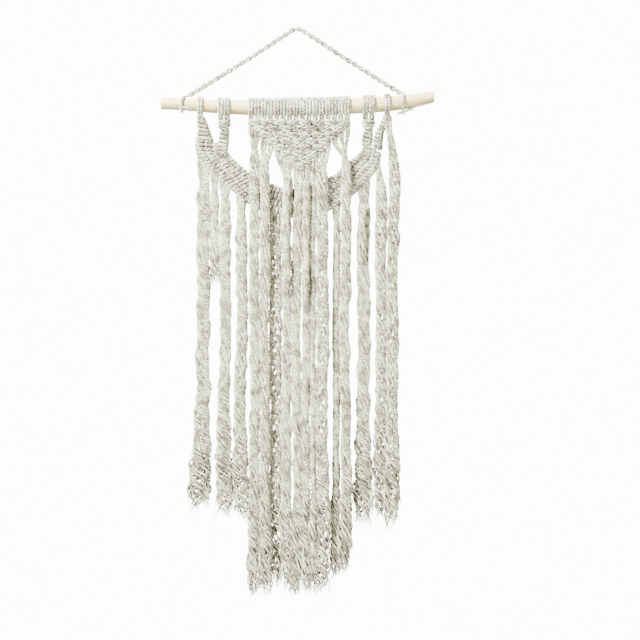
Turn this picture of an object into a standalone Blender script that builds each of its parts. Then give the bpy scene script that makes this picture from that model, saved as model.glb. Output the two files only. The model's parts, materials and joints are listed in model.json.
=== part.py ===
"""Macrame wall hanging on a natural stick.

A peeled stick hangs on a twisted cotton rope that is tied round it near both ends. Cotton cords are
hitched onto the stick. The middle ones make a triangle of alternating square knots, the outer ones a
U-shaped band of clove-hitch rows behind it, and all of them end in long hanging bundles.

Metres, +Z up, +X to the viewer's right, the wall at +Y. The origin is where the rope lies on its nail.
Run with: blender --background --python part.py
"""

import math

import bmesh
import bpy
from mathutils import Matrix, Vector

MM = 0.001

# ---- driving dimensions, in millimetres ----
GAP = 0.3  # between neighbouring soft solids
STICK_LENGTH = 350.0
STICK_RADIUS = 9.9  # at its thickest
STICK_DROP = 96.0  # the stick's ends below the hanging point
STICK_BOW = 4.0  # how far the middle sags
ROPE_RADIUS = 3.5  # the hanger rope
STRAND_RADIUS = 1.5  # the thin strand that ties the rope on
LEFT_TIE_INSET = 30.0  # from the stick's left end
RIGHT_TIE_INSET = 39.0
TIE_CLEARANCE = 0.6  # lets the stick roll in its ties
CORD = 3.8  # one cord, flattened a little where it is hitched
LEFT_HITCH_INSET = 50.5  # the outer hitches, from the stick's ends
RIGHT_HITCH_INSET = 60.0
CENTRE_X = 2.0  # middle of the knotted triangle
CENTRE_STRANDS = 32
GROUP_STRANDS = 4
NECK = 2.3  # strands between a hitch and the knots under it
KNOT_ROWS = 8
ROW_PITCH = 7.95
KNOT_DEPTH = 8.0
PANEL_Y = -5.0  # front layer: the triangle and the bundles that hang from it
BAND_DEPTH = 8.0
BAND_Y = 4.7  # back layer: the band and the bundles that hang from it
BAND_ROWS = 4
SIDE_KNOT_RADIUS = 5.6
SIDE_SINNET_RADIUS = 5.4
BUNDLE_DEPTH = 8.4
SIDE_FRINGE_DROP = 632.0  # bottom of the side bundles, below the hanging point
CENTRE_FRINGE_DROP = 726.0  # bottom of the middle bundles
SHORT_TAIL_DROP = 340.0
HINGE_Y = -4.0  # the cords bend here, just under the stick
TIP_RADIUS = 1.5  # a bundle's rounded top, about its own pivot

STICK_SIDES = 12
TUBE_SIDES = 8

HALF = STICK_LENGTH / 2
STICK_SHARE = STICK_LENGTH / 350.0  # the insets are those of a 350 mm stick and keep their share of it
LEFT_TIE_X = -HALF + LEFT_TIE_INSET * STICK_SHARE
RIGHT_TIE_X = HALF - RIGHT_TIE_INSET * STICK_SHARE
LEFT_OUTER_X = -HALF + LEFT_HITCH_INSET * STICK_SHARE
RIGHT_OUTER_X = HALF - RIGHT_HITCH_INSET * STICK_SHARE
STRAND_PITCH = CORD + GAP
CENTRE_WIDTH = CENTRE_STRANDS * STRAND_PITCH
KNOT_PITCH = GROUP_STRANDS * STRAND_PITCH
PANEL_LEFT = CENTRE_X - CENTRE_WIDTH / 2
PANEL_RIGHT = CENTRE_X + CENTRE_WIDTH / 2
LEFT_INNER_X = (PANEL_LEFT + LEFT_OUTER_X) / 2
RIGHT_INNER_X = (PANEL_RIGHT + RIGHT_OUTER_X) / 2

# the stick's shape along its length: share of the half length, rise in bows, share of the radius
STICK_SHAPE = [
    (-1.0, 0.45, 0.76),
    (-0.83, 0.13, 0.79),
    (-0.43, -0.93, 0.91),
    (0.0, -0.85, 0.97),
    (0.41, -0.45, 1.0),
    (0.8, 0.93, 0.94),
    (1.0, 2.53, 0.76),
]


def smooth_value(knots, x):
    """A smooth curve through knots of (x, value, ...), one result for each value."""
    last = len(knots) - 2
    i = 0
    while i < last and x > knots[i + 1][0]:
        i += 1
    before, here = knots[max(i - 1, 0)], knots[i]
    there, after = knots[i + 1], knots[min(i + 2, last + 1)]
    t = min(max((x - here[0]) / (there[0] - here[0]), 0.0), 1.0)
    width = there[0] - here[0]
    values = []
    for k in range(1, len(here)):
        start = (there[k] - before[k]) / (there[0] - before[0]) * width
        end = (after[k] - here[k]) / (after[0] - here[0]) * width
        h00 = 2 * t**3 - 3 * t**2 + 1
        h10 = t**3 - 2 * t**2 + t
        h01 = -2 * t**3 + 3 * t**2
        h11 = t**3 - t**2
        values.append(h00 * here[k] + h10 * start + h01 * there[k] + h11 * end)
    return values


def stick_at(x):
    """Height of the stick's centre, and its radius, at x."""
    rise, share = smooth_value(STICK_SHAPE, x / HALF)
    return -STICK_DROP + rise * STICK_BOW, share * STICK_RADIUS


def smooth_route(points, steps):
    """Points on a smooth curve through (x, z) points, steps to each stretch."""
    route = []
    for i in range(len(points) - 1):
        p0 = Vector(points[max(i - 1, 0)])
        p1 = Vector(points[i])
        p2 = Vector(points[i + 1])
        p3 = Vector(points[min(i + 2, len(points) - 1)])
        for step in range(steps):
            t = step / steps
            bend = (2 * p0 - 5 * p1 + 4 * p2 - p3) * t**2 + (3 * p1 - p0 - 3 * p2 + p3) * t**3
            route.append(p1 + 0.5 * ((p2 - p0) * t + bend))
    route.append(Vector(points[-1]))
    return route


# ---- Blender helpers ----


def clear_scene():
    for item in list(bpy.data.objects):
        bpy.data.objects.remove(item, do_unlink=True)


def make_material(name, colour, roughness):
    material = bpy.data.materials.new(name)
    material.use_nodes = True
    shader = material.node_tree.nodes["Principled BSDF"]
    shader.inputs["Base Color"].default_value = (*colour, 1.0)
    shader.inputs["Roughness"].default_value = roughness
    shader.inputs["Metallic"].default_value = 0.0
    return material


class Pivot:
    """An empty on a body's joint axis. The body's pieces and its child bodies are parented to it."""

    def __init__(self, name, position_mm, parent=None):
        self.place = Vector(position_mm) * MM
        self.empty = bpy.data.objects.new("pivot_" + name, None)
        bpy.context.collection.objects.link(self.empty)
        self.empty.empty_display_size = 0.01
        self.empty.parent = parent.empty if parent else None
        self.empty.location = self.place - parent.place if parent else self.place

    def add(self, name, mesh, material):
        """A piece of this body, from a mesh in world millimetres."""
        mesh.transform(Matrix.Translation(-self.place) @ Matrix.Scale(MM, 4))
        mesh.materials.append(material)
        piece = bpy.data.objects.new(name, mesh)
        bpy.context.collection.objects.link(piece)
        piece.parent = self.empty
        mesh.shade_smooth()
        mesh.set_sharp_from_angle(angle=math.radians(50))
        return piece


def loft(rings, closed=False):
    """A mesh extruded through rings of points in turn, with flat ends unless the last meets the first."""
    shape = bmesh.new()
    count = len(rings[0])
    first = [shape.verts.new(point) for point in rings[0]]
    corners = first
    edges = [shape.edges.new((corners[i], corners[(i + 1) % count])) for i in range(count)]
    for ring in rings[1:]:
        bmesh.ops.extrude_edge_only(shape, edges=edges)
        grown = []
        for corner, point in zip(corners, ring):
            new_edge = corner.link_edges[-1]
            fresh = new_edge.other_vert(corner)
            fresh.co = point
            grown.append(fresh)
        corners = grown
        edges = [shape.edges.get((corners[i], corners[(i + 1) % count])) for i in range(count)]
    if closed:
        for i in range(count):
            j = (i + 1) % count
            shape.faces.new((corners[i], corners[j], first[j], first[i]))
    else:
        shape.faces.new(first)
        shape.faces.new(corners)
    bmesh.ops.recalc_face_normals(shape, faces=shape.faces)
    mesh = bpy.data.meshes.new("loft")
    shape.to_mesh(mesh)
    shape.free()
    return mesh


def oval(centre, across, depth, sides=TUBE_SIDES):
    """A ring of points round centre, spanned by two half-size vectors, flat sides up and down."""
    points = []
    for i in range(sides):
        angle = (i + 0.5) * math.tau / sides
        points.append(Vector(centre) + math.cos(angle) * Vector(across) + math.sin(angle) * Vector(depth))
    return points


def tube(route, radius, sides=TUBE_SIDES):
    """A round tube along points (x, y, z), with a radius that may be a function of 0..1 along it."""
    rings = []
    for i, point in enumerate(route):
        ahead = route[min(i + 1, len(route) - 1)]
        behind = route[max(i - 1, 0)]
        along = (ahead - behind).normalized()
        side = along.cross(Vector((0, 1, 0)))
        side = side.normalized() if side.length > 0.3 else Vector((0, 0, 1))
        size = radius(i / (len(route) - 1)) if callable(radius) else radius
        rings.append(oval(point, side * size, along.cross(side) * size, sides))
    return loft(rings)


def union(name, meshes):
    """Overlapping meshes joined into one closed solid."""
    pieces = []
    for i, mesh in enumerate(meshes):
        piece = bpy.data.objects.new(f"{name}_{i}", mesh)
        bpy.context.collection.objects.link(piece)
        pieces.append(piece)
    first = pieces[0]
    for other in pieces[1:]:
        join = first.modifiers.new("join", "BOOLEAN")
        join.operation = "UNION"
        join.solver = "EXACT"
        join.object = other
    bpy.context.view_layer.update()
    whole = bpy.data.meshes.new_from_object(first.evaluated_get(bpy.context.evaluated_depsgraph_get()))
    for piece in pieces:
        bpy.data.objects.remove(piece, do_unlink=True)
    return whole


def ball(centre, size, segments=10, rings=6):
    """An egg-shaped knot."""
    shape = bmesh.new()
    place = Matrix.Translation(centre) @ Matrix.Diagonal((*size, 1.0))
    bmesh.ops.create_uvsphere(shape, u_segments=segments, v_segments=rings, radius=1.0, matrix=place)
    mesh = bpy.data.meshes.new("ball")
    shape.to_mesh(mesh)
    shape.free()
    return mesh


# ---- the stick, its hanger and its hitches ----


def stick_ring(x, offset):
    z, radius = stick_at(x)
    size = radius + offset
    return oval((x, 0, z), (0, size, 0), (0, 0, size), STICK_SIDES)


def make_stick(body, wood):
    stations = 14
    rings = [stick_ring(-HALF + STICK_LENGTH * i / (stations - 1), 0.0) for i in range(stations)]
    body.add("dowel", loft(rings), wood)


def rope_foot(x, towards):
    """Where the hanger rope ends, just above the stick and beside its tie."""
    foot_x = x + towards * (STRAND_RADIUS + 0.7 * ROPE_RADIUS + GAP)
    z, radius = stick_at(foot_x)
    return Vector((foot_x, 0, z + radius + 0.85 * ROPE_RADIUS))


def make_hanger_rope(body, cotton):
    left = rope_foot(LEFT_TIE_X, 1)
    right = rope_foot(RIGHT_TIE_X, -1)
    top = Vector((0, 0, ROPE_RADIUS))
    shoulder = 9.0  # how far from the nail the bend starts
    route = [left, left.lerp(top, 0.33), left.lerp(top, 0.66)]
    bend = [top + (left - top).normalized() * shoulder, top, top + (right - top).normalized() * shoulder]
    for i in range(7):
        t = i / 6
        route.append(bend[0] * (1 - t) ** 2 + bend[1] * 2 * t * (1 - t) + bend[2] * t**2)
    lift = top - route[6]
    route[3:] = [point + lift for point in route[3:]]
    route += [right.lerp(top, 0.66), right.lerp(top, 0.33), right]
    body.add("hanger_rope", tube(route, ROPE_RADIUS), cotton)


def make_tie(body, name, x, knot_offset, tails, cotton):
    """The rope's thin strand: once round the stick, a knot under it, and two short tails."""
    z, radius = stick_at(x)
    middle = radius + TIE_CLEARANCE + STRAND_RADIUS
    loop = []
    for i in range(16):
        angle = (i + 0.5) * math.tau / 16
        out = Vector((0, math.cos(angle), math.sin(angle)))
        loop.append(oval(Vector((x, 0, z)) + out * middle, out * STRAND_RADIUS, (STRAND_RADIUS, 0, 0), 6))
    knot = Vector((x, 0, z)) + Vector(knot_offset).normalized() * (radius + TIE_CLEARANCE + 3.2)
    parts = [loft(loop, closed=True), ball(knot, (3.4, 2.8, 2.8), 8, 6)]
    for tail in tails:
        end = knot + Vector(tail)
        parts.append(tube([knot, knot.lerp(end, 0.6) + Vector((0, 0, 0.8)), end], STRAND_RADIUS, 6))
    body.add(name, union(name, parts), cotton)


def neck_bottom(x):
    """Height of the lower end of the strands under a hitch at x."""
    z, radius = stick_at(x)
    return z - radius - GAP - CORD - NECK


PANEL_TOP = min(neck_bottom(PANEL_LEFT + KNOT_PITCH * i) for i in range(KNOT_ROWS + 1)) - GAP


def make_hitch(body, name, x0, strands, bottom, cotton):
    """A sleeve of cords side by side round the stick, drawn down to a neck where they leave it."""
    width = strands * STRAND_PITCH - GAP
    crest = GAP + CORD
    valley = GAP + 0.6 * CORD
    profile = [(0, GAP), (0, valley)]
    for i in range(strands):
        profile.append(((i + 0.5) * width / strands, crest))
        profile.append(((i + 1) * width / strands, valley))
    profile.append((width, GAP))
    rings = []
    for along, offset in profile:
        ring = stick_ring(x0 + along, offset)
        if offset > GAP:
            for point in ring:
                if point.z < stick_at(x0 + along)[0] - 0.9 * offset - 0.8 * STICK_RADIUS * 0.9:
                    point.z = bottom
                    point.y *= 0.6
        rings.append(ring)
    body.add(name, loft(rings, closed=True), cotton)


def make_hitches(body, cotton):
    for name, x, strands in (
        ("hitch_left_outer", LEFT_OUTER_X, 2),
        ("hitch_left_inner", LEFT_INNER_X, 4),
        ("hitch_right_inner", RIGHT_INNER_X, 4),
        ("hitch_right_outer", RIGHT_OUTER_X, 2),
    ):
        start = x - strands * STRAND_PITCH / 2
        make_hitch(body, name, start, strands, neck_bottom(x), cotton)
    for i in range(CENTRE_STRANDS // GROUP_STRANDS):
        start = PANEL_LEFT + i * KNOT_PITCH + GAP / 2
        make_hitch(body, f"hitch_centre_{i + 1}", start, GROUP_STRANDS, PANEL_TOP + GAP, cotton)


# ---- the knotted triangle ----


def row_span(row):
    """Left end, right end, top and bottom of a row of square knots."""
    half = (KNOT_ROWS - row) * KNOT_PITCH / 2
    top = PANEL_TOP - row * ROW_PITCH
    return CENTRE_X - half, CENTRE_X + half, top, top - ROW_PITCH + GAP


def make_knot_row(body, row, cotton):
    left, right, top, bottom = row_span(row)
    middle = (top + bottom) / 2
    rise = (top - bottom) / 2
    lobes = ((0.0, 0.88, 0.66), (0.25, 1.0, 0.95), (0.75, 1.0, 0.95))
    rings = []
    for knot in range(KNOT_ROWS - row):
        for share, height, depth in lobes:
            x = left + (knot + share) * KNOT_PITCH
            rings.append(knot_ring(x, middle, rise * height, KNOT_DEPTH / 2 * depth))
    rings.append(knot_ring(right, middle, rise * 0.88, KNOT_DEPTH / 2 * 0.66))
    body.add(f"knot_row_{row + 1}", loft(rings), cotton)


def knot_ring(x, z, rise, depth):
    """A rounded box section in the plane of y and z."""
    points = []
    for y, up in ((-0.45, 1), (0.45, 1), (1, 0.5), (1, -0.5), (0.45, -1), (-0.45, -1), (-1, -0.5), (-1, 0.5)):
        points.append(Vector((x, PANEL_Y + y * depth, z + up * rise)))
    return points


# ---- the band behind it ----

# The band's upper and lower edges, from its left end to its lowest point: share of the way from the
# middle to the outer hitch, and the drop below the knotted triangle's top.
LEFT_BAND_TOP = [
    (-0.735, 33), (-0.71, 42), (-0.65, 51), (-0.57, 60), (-0.49, 68), (-0.37, 75), (-0.21, 84), (0, 89),
]
LEFT_BAND_LOW = [
    (-1.035, 20), (-1.04, 38), (-0.965, 53), (-0.845, 67), (-0.71, 84), (-0.55, 102), (-0.29, 118), (0, 124),
]
RIGHT_BAND_TOP = [
    (0.725, 31), (0.708, 39), (0.602, 49), (0.47, 62.5), (0.336, 74), (0.177, 84), (0, 89),
]
RIGHT_BAND_LOW = [
    (0.92, 41), (0.894, 58), (0.779, 74.5), (0.62, 93), (0.425, 109), (0.204, 119.5), (0, 124),
]


# The share of the way from the middle to the outer hitch at which the triangle's edge stands.
EDGE_SHARE = {-1: 65.6 / 126.5, 1: 65.6 / 113.0}


def band_place(point, side):
    """A point of the band's edge: under the triangle it follows its width, beyond it the outer hitch."""
    share, drop = point
    way = abs(share) / EDGE_SHARE[side]
    if way <= 1:
        x = CENTRE_X + side * way * CENTRE_WIDTH / 2
    else:
        x = outside(side, (abs(share) - EDGE_SHARE[side]) / (1 - EDGE_SHARE[side]))
    start = side * 2 * GAP if share == 0 else 0.0  # keeps the two halves apart at the lowest point
    return x + start, PANEL_TOP - drop


def band_edge(points, side):
    return smooth_route([band_place(point, side) for point in points], 2)


def make_band_half(body, word, top_points, low_points, side, cotton):
    """One half of the band, as clove-hitch rows side by side that run down to its middle."""
    top = band_edge(top_points, side)
    low = band_edge(low_points, side)
    for row in range(BAND_ROWS):
        rings = []
        for upper, lower in zip(top, low):
            centre = upper.lerp(lower, (row + 0.5) / BAND_ROWS)
            across = (lower - upper) / BAND_ROWS / 2
            across *= 1 - GAP / 2 / across.length
            middle = (centre.x, BAND_Y, centre.y)
            rings.append(oval(middle, (across.x, 0, across.y), (0, BAND_DEPTH / 2, 0)))
        body.add(f"band_{word}_row_{row + 1}", loft(rings), cotton)


def band_bottom(x):
    """Lowest height of the band's lower edge at x."""
    edge = [point.copy() for point in band_edge(LEFT_BAND_LOW, -1)]
    edge += reversed(band_edge(RIGHT_BAND_LOW, 1))
    heights = []
    for first, second in zip(edge, edge[1:]):
        low_x, high_x = sorted((first.x, second.x))
        if low_x <= x <= high_x and high_x > low_x:
            share = (x - first.x) / (second.x - first.x)
            heights.append(first.y + share * (second.y - first.y))
    return min(heights)


# How wide each side is between the triangle's edge and the outer hitch, against 60.9 and 47.4 mm.
LEFT_SIDE_SHARE = (PANEL_LEFT - LEFT_OUTER_X) / 60.9
RIGHT_SIDE_SHARE = (RIGHT_OUTER_X - PANEL_RIGHT) / 47.4


def make_side_sinnets(body, cotton):
    """The knots and short knotted columns that carry the band from the side hitches."""
    left_foot = Vector(band_place(LEFT_BAND_TOP[0], -1)) + Vector((-5.0 * LEFT_SIDE_SHARE, 3.4))
    right_foot = Vector(band_place(RIGHT_BAND_TOP[0], 1)) + Vector((4.5 * RIGHT_SIDE_SHARE, 0.6))
    for word, x, foot, side_share in (
        ("left", LEFT_INNER_X, left_foot, LEFT_SIDE_SHARE),
        ("right", RIGHT_INNER_X, right_foot, RIGHT_SIDE_SHARE),
    ):
        top = neck_bottom(x) - GAP
        knot = Vector((x, BAND_Y - 1.5, top - SIDE_KNOT_RADIUS))
        size = (SIDE_KNOT_RADIUS * 1.35 * side_share, SIDE_KNOT_RADIUS * 0.85, SIDE_KNOT_RADIUS)
        body.add(f"side_knot_{word}", ball(knot, size), cotton)
        start = Vector((x, BAND_Y, knot.z - SIDE_KNOT_RADIUS - GAP))
        end = Vector((foot.x, BAND_Y, foot.y))
        shape = column_size(0.62 * side_share, 0.9 * side_share)
        body.add(f"inner_sinnet_{word}", tube(straight(start, end, 5), shape), cotton)
    corner = band_edge(LEFT_BAND_LOW, -1)[0].lerp(band_edge(LEFT_BAND_TOP, -1)[0], 0.3)
    start = Vector((LEFT_OUTER_X, BAND_Y - 2, neck_bottom(LEFT_OUTER_X) - 3 * GAP))
    end = Vector((corner.x, BAND_Y, corner.y + 1.6))
    shape = column_size(0.5 * LEFT_SIDE_SHARE, LEFT_SIDE_SHARE)
    body.add("outer_sinnet_left", tube(straight(start, end, 4), shape), cotton)
    corner = band_edge(RIGHT_BAND_LOW, 1)[0].lerp(band_edge(RIGHT_BAND_TOP, 1)[0], 0.2)
    start = Vector((RIGHT_OUTER_X, BAND_Y - 2, neck_bottom(RIGHT_OUTER_X) - 6 * GAP))
    bend = Vector((corner.x - 1.0, BAND_Y, start.z - 14))
    end = Vector((corner.x, BAND_Y, corner.y + 1.8))
    route = straight(start, bend, 2) + straight(bend, end, 4)[1:]
    shape = column_size(0.42 * RIGHT_SIDE_SHARE, 0.82 * RIGHT_SIDE_SHARE)
    body.add("outer_sinnet_right", tube(route, shape), cotton)


def straight(start, end, count):
    return [start.lerp(end, i / (count - 1)) for i in range(count)]


def column_size(ends, middle):
    """A radius that swells from its ends to its middle, as a share of the sinnet's."""
    return lambda t: SIDE_SINNET_RADIUS * (ends + (middle - ends) * math.sin(math.pi * t) ** 0.7)


# ---- the bundles that hang from them ----


class Bundle:
    """A hanging bundle of cords with its own pivot at its rounded top."""

    def __init__(self, name, layer, tip, slot, foot, bottom, neck, below=None):
        self.name = name
        self.layer = layer  # front or back
        self.tip = tip  # x of its top
        self.slot = slot  # left and right sides once it hangs free
        self.foot = foot  # left and right sides at its end
        self.bottom = bottom
        self.neck = neck  # length over which it fills out
        self.below = below  # the knot row that it hangs from, or None for the band

    def y(self):
        return PANEL_Y if self.layer == "front" else BAND_Y

    def top(self):
        if self.below is not None:
            return row_span(self.below)[3] - GAP
        reach = TIP_RADIUS
        return min(band_bottom(self.tip + step * reach) for step in (-1, 0, 1)) - GAP / 2

    def pivot(self):
        return Vector((self.tip, self.y(), self.top() - TIP_RADIUS))

    def solid(self):
        top = self.top()
        middle = sum(self.slot) / 2
        half = (self.slot[1] - self.slot[0]) / 2
        end = sum(self.foot) / 2
        end_half = (self.foot[1] - self.foot[0]) / 2
        drop = top - self.bottom
        depth = BUNDLE_DEPTH / 2
        stations = [
            (top, self.tip, TIP_RADIUS * 0.9, TIP_RADIUS * 0.45),
            (top - TIP_RADIUS, self.tip, TIP_RADIUS * 1.2, TIP_RADIUS),
            (top - self.neck * 0.35, self.tip * 0.7 + middle * 0.3, half * 0.45, depth * 0.6),
            (top - self.neck, middle, half, depth * 0.95),
            (top - drop * 0.55, middle, half, depth),
            (top - drop * 0.85, (middle + end) / 2, (half + end_half) / 2, depth),
            (self.bottom, end, end_half * 0.8, depth * 0.8),
        ]
        rings = [oval((x, self.y(), z), (wide, 0, 0), (0, deep, 0)) for z, x, wide, deep in stations]
        return loft(rings)


def outside(side, share):
    """X beyond the triangle, at a share of the way from its edge to the outer hitch."""
    if side < 0:
        return PANEL_LEFT + share * (LEFT_OUTER_X - PANEL_LEFT)
    return PANEL_RIGHT + share * (RIGHT_OUTER_X - PANEL_RIGHT)


def inside(x_share):
    """X under the triangle, as knots to the right of its middle."""
    return CENTRE_X + x_share * KNOT_PITCH


def side_span(side, span):
    return tuple(sorted((outside(side, span[0]), outside(side, span[1]))))


# Beyond the triangle, in shares of the way to the outer hitch: number, top, sides, sides at the end,
# how much higher than the side fringe it ends, and the length over which it fills out.
LEFT_BUNDLES = [
    (1, 0.965, (0.81, 1.075), (0.87, 1.24), 14, 26),
    (2, 0.53, (0.38, 0.605), (0.35, 0.66), 8, 26),
    (3, 0.16, (0.04, 0.25), (0.02, 0.29), 2, 26),
]
RIGHT_BUNDLES = [
    (1, 0.44, (0.2, 0.53), (0.16, 0.6), -6, 34),
    (2, 0.74, (0.71, 0.975), (0.68, 0.985), 4, 40),
]
# Under the triangle, in knots from its middle: name, top, sides, how much higher than the middle fringe
# it ends, the length over which it fills out, and the knot row that it leaves, or None for the band.
MIDDLE_BUNDLES = [
    ("bundle_front_1", -3.7, (-3.82, -3.12), 0, 34, 0),
    ("bundle_front_2", -2.68, (-3.03, -2.33), -2, 30, 2),
    ("bundle_middle_left", -1.86, (-2.25, -1.4), 10, 30, None),
    ("bundle_front_3", -1.24, (-1.33, -0.6), 6, 30, 5),
    ("bundle_front_4", -0.2, (-0.52, 0.18), -4, 16, 7),
    ("bundle_front_5", 0.75, (0.25, 0.86), 2, 26, 6),
    ("bundle_front_6", 1.24, (0.92, 1.26), 12, 20, 5),
    ("bundle_front_7", 1.8, (1.33, 2.27), 0, 22, 4),
    ("bundle_middle_right", 2.92, (2.66, 3.18), 22, 26, None),
    ("bundle_front_8", 3.8, (3.26, 3.98), 30, 34, 0),
]


def side_bundles():
    bundles = []
    for word, side, table in (("left", -1, LEFT_BUNDLES), ("right", 1, RIGHT_BUNDLES)):
        for number, tip, slot, foot, rise, neck in table:
            bottom = rise - SIDE_FRINGE_DROP
            spans = (side_span(side, slot), side_span(side, foot))
            bundles.append(Bundle(f"bundle_{word}_{number}", "back", outside(side, tip), *spans, bottom, neck))
    return bundles


def middle_bundles():
    bundles = []
    for name, tip, slot, rise, neck, below in MIDDLE_BUNDLES:
        layer = "back" if below is None else "front"
        span = (inside(slot[0]), inside(slot[1]))
        bottom = rise - CENTRE_FRINGE_DROP
        bundles.append(Bundle(name, layer, inside(tip), span, span, bottom, neck, below))
    return bundles


class FrontDrop(Bundle):
    """The bundle that hangs straight from the right outer hitch, in front of the band's end."""

    def y(self):
        return PANEL_Y + 2.0

    def top(self):
        return neck_bottom(self.tip) - GAP


def right_drop():
    slot = side_span(1, (1.01, 1.29))
    return FrontDrop("bundle_right_3", "front", RIGHT_OUTER_X, slot, slot, -SIDE_FRINGE_DROP - 10, 60.0)


def short_tail(name, x, half, top, bottom, y):
    """A shorter bundle of cords that lies against a long one and moves with it."""
    rings = []
    for share, wide, deep in ((0.0, 0.5, 0.5), (0.12, 1.0, 1.0), (0.8, 1.0, 1.0), (1.0, 0.55, 0.6)):
        z = top + share * (bottom - top)
        rings.append(oval((x, y, z), (half * wide, 0, 0), (0, 2.2 * deep, 0)))
    return loft(rings)


def make_bundles(parent_front, parent_back, cotton):
    front_tail_y = PANEL_Y - BUNDLE_DEPTH / 2 - 2.2 - GAP
    back_tail_y = BAND_Y - BUNDLE_DEPTH / 2 - 2.2 - GAP
    tails = {
        "bundle_front_3": ("short_tail_middle_left", 0.5, -SHORT_TAIL_DROP - 4, front_tail_y, 0.42),
        "bundle_front_5": ("short_tail_middle_right", 0.5, -SHORT_TAIL_DROP - 10, front_tail_y, 0.42),
        "bundle_right_1": ("short_tail_right", 0.42, -SHORT_TAIL_DROP + 40, back_tail_y, 0.36),
    }
    for bundle in side_bundles() + middle_bundles() + [right_drop()]:
        front = bundle.layer == "front" and not isinstance(bundle, FrontDrop)
        body = Pivot(bundle.name, bundle.pivot(), parent_front if front else parent_back)
        body.add(bundle.name, bundle.solid(), cotton)
        if bundle.name in tails:
            name, share, bottom, y, width = tails[bundle.name]
            span = bundle.slot[1] - bundle.slot[0]
            x = bundle.slot[0] + share * span
            body.add(name, short_tail(name, x, width * span, bundle.top() - bundle.neck, bottom, y), cotton)
    slot = side_span(-1, (0.63, 0.785))
    tail = Bundle("short_tail_left", "back", outside(-1, 0.72), slot, slot, 10 - SHORT_TAIL_DROP, 20.0)
    Pivot(tail.name, tail.pivot(), parent_back).add(tail.name, tail.solid(), cotton)


def main():
    clear_scene()
    wood = make_material("peeled_stick", (0.86, 0.78, 0.6), 0.7)
    cotton = make_material("natural_cotton_cord", (0.84, 0.83, 0.78), 0.9)
    hanger = Pivot("hanger", (0, 0, 0))
    make_hanger_rope(hanger, cotton)
    left_tails = ((-9 * STICK_SHARE, -1, 1), (13 * STICK_SHARE, -2, -4))
    right_tails = ((-8 * STICK_SHARE, -2, -3.5), (14 * STICK_SHARE, -1, 3))
    make_tie(hanger, "tie_left", LEFT_TIE_X, (-0.5, -10.4, -4.5), left_tails, cotton)
    make_tie(hanger, "tie_right", RIGHT_TIE_X, (0, -3, -13), right_tails, cotton)
    dowel = Pivot("dowel", (LEFT_TIE_X, 0, stick_at(LEFT_TIE_X)[0]), hanger)
    make_stick(dowel, wood)
    make_hitches(dowel, cotton)
    band = Pivot("band", (CENTRE_X, HINGE_Y, PANEL_TOP + 1.0), dowel)
    make_band_half(band, "left", LEFT_BAND_TOP, LEFT_BAND_LOW, -1, cotton)
    make_band_half(band, "right", RIGHT_BAND_TOP, RIGHT_BAND_LOW, 1, cotton)
    make_side_sinnets(band, cotton)
    triangle = Pivot("triangle", (CENTRE_X, HINGE_Y, PANEL_TOP + 0.3), band)
    for row in range(KNOT_ROWS):
        make_knot_row(triangle, row, cotton)
    make_bundles(triangle, band, cotton)


if __name__ == "__main__":
    main()
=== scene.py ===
"""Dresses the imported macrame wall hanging: twisted cotton cords, knots and fringe on a peeled stick.

Lengths inside the classes are millimetres. A mesh is scaled to metres when its piece is made.
"""

from __future__ import annotations

import json
import logging
import math
import random
from dataclasses import dataclass, field
from enum import Enum
from typing import Callable

import bmesh
import bpy
import numpy as np
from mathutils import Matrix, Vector, noise
from mathutils.kdtree import KDTree

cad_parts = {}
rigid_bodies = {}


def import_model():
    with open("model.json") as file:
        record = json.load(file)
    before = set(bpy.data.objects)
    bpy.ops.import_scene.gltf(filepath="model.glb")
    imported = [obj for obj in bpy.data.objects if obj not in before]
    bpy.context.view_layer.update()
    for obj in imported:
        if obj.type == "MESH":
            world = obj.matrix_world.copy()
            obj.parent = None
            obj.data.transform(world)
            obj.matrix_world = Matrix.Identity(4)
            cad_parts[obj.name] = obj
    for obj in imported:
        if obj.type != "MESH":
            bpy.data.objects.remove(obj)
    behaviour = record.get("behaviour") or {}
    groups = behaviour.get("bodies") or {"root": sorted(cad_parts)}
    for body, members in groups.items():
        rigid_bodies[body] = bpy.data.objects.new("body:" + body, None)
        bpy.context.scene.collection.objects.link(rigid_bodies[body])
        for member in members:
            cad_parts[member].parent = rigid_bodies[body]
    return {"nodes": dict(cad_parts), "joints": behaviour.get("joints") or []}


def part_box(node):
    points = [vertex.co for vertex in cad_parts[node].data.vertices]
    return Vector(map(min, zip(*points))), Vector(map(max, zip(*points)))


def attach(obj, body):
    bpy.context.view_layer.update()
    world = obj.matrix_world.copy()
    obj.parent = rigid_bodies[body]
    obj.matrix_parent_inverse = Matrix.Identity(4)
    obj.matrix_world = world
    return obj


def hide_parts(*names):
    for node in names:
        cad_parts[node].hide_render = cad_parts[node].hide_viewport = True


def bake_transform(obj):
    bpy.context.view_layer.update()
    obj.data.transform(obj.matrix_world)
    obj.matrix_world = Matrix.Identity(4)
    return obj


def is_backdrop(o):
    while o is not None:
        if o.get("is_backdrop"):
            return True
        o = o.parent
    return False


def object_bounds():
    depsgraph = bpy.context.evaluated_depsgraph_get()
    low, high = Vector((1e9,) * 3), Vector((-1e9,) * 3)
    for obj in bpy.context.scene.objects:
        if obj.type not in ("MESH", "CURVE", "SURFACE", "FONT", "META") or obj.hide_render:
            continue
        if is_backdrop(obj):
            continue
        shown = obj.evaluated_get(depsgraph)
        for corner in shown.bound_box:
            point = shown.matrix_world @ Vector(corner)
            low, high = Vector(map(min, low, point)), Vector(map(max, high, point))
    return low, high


LOG = logging.getLogger("macrame")
MM = 0.001
# an eight-sided CAD tube is this share of its round width across its flats
OCTAGON = math.cos(math.pi / 8)


# ---- lines in space ----


def ease(share: float) -> float:
    """A share from 0 to 1 with a soft start and end."""
    t = min(max(share, 0.0), 1.0)
    return t * t * (3 - 2 * t)


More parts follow.
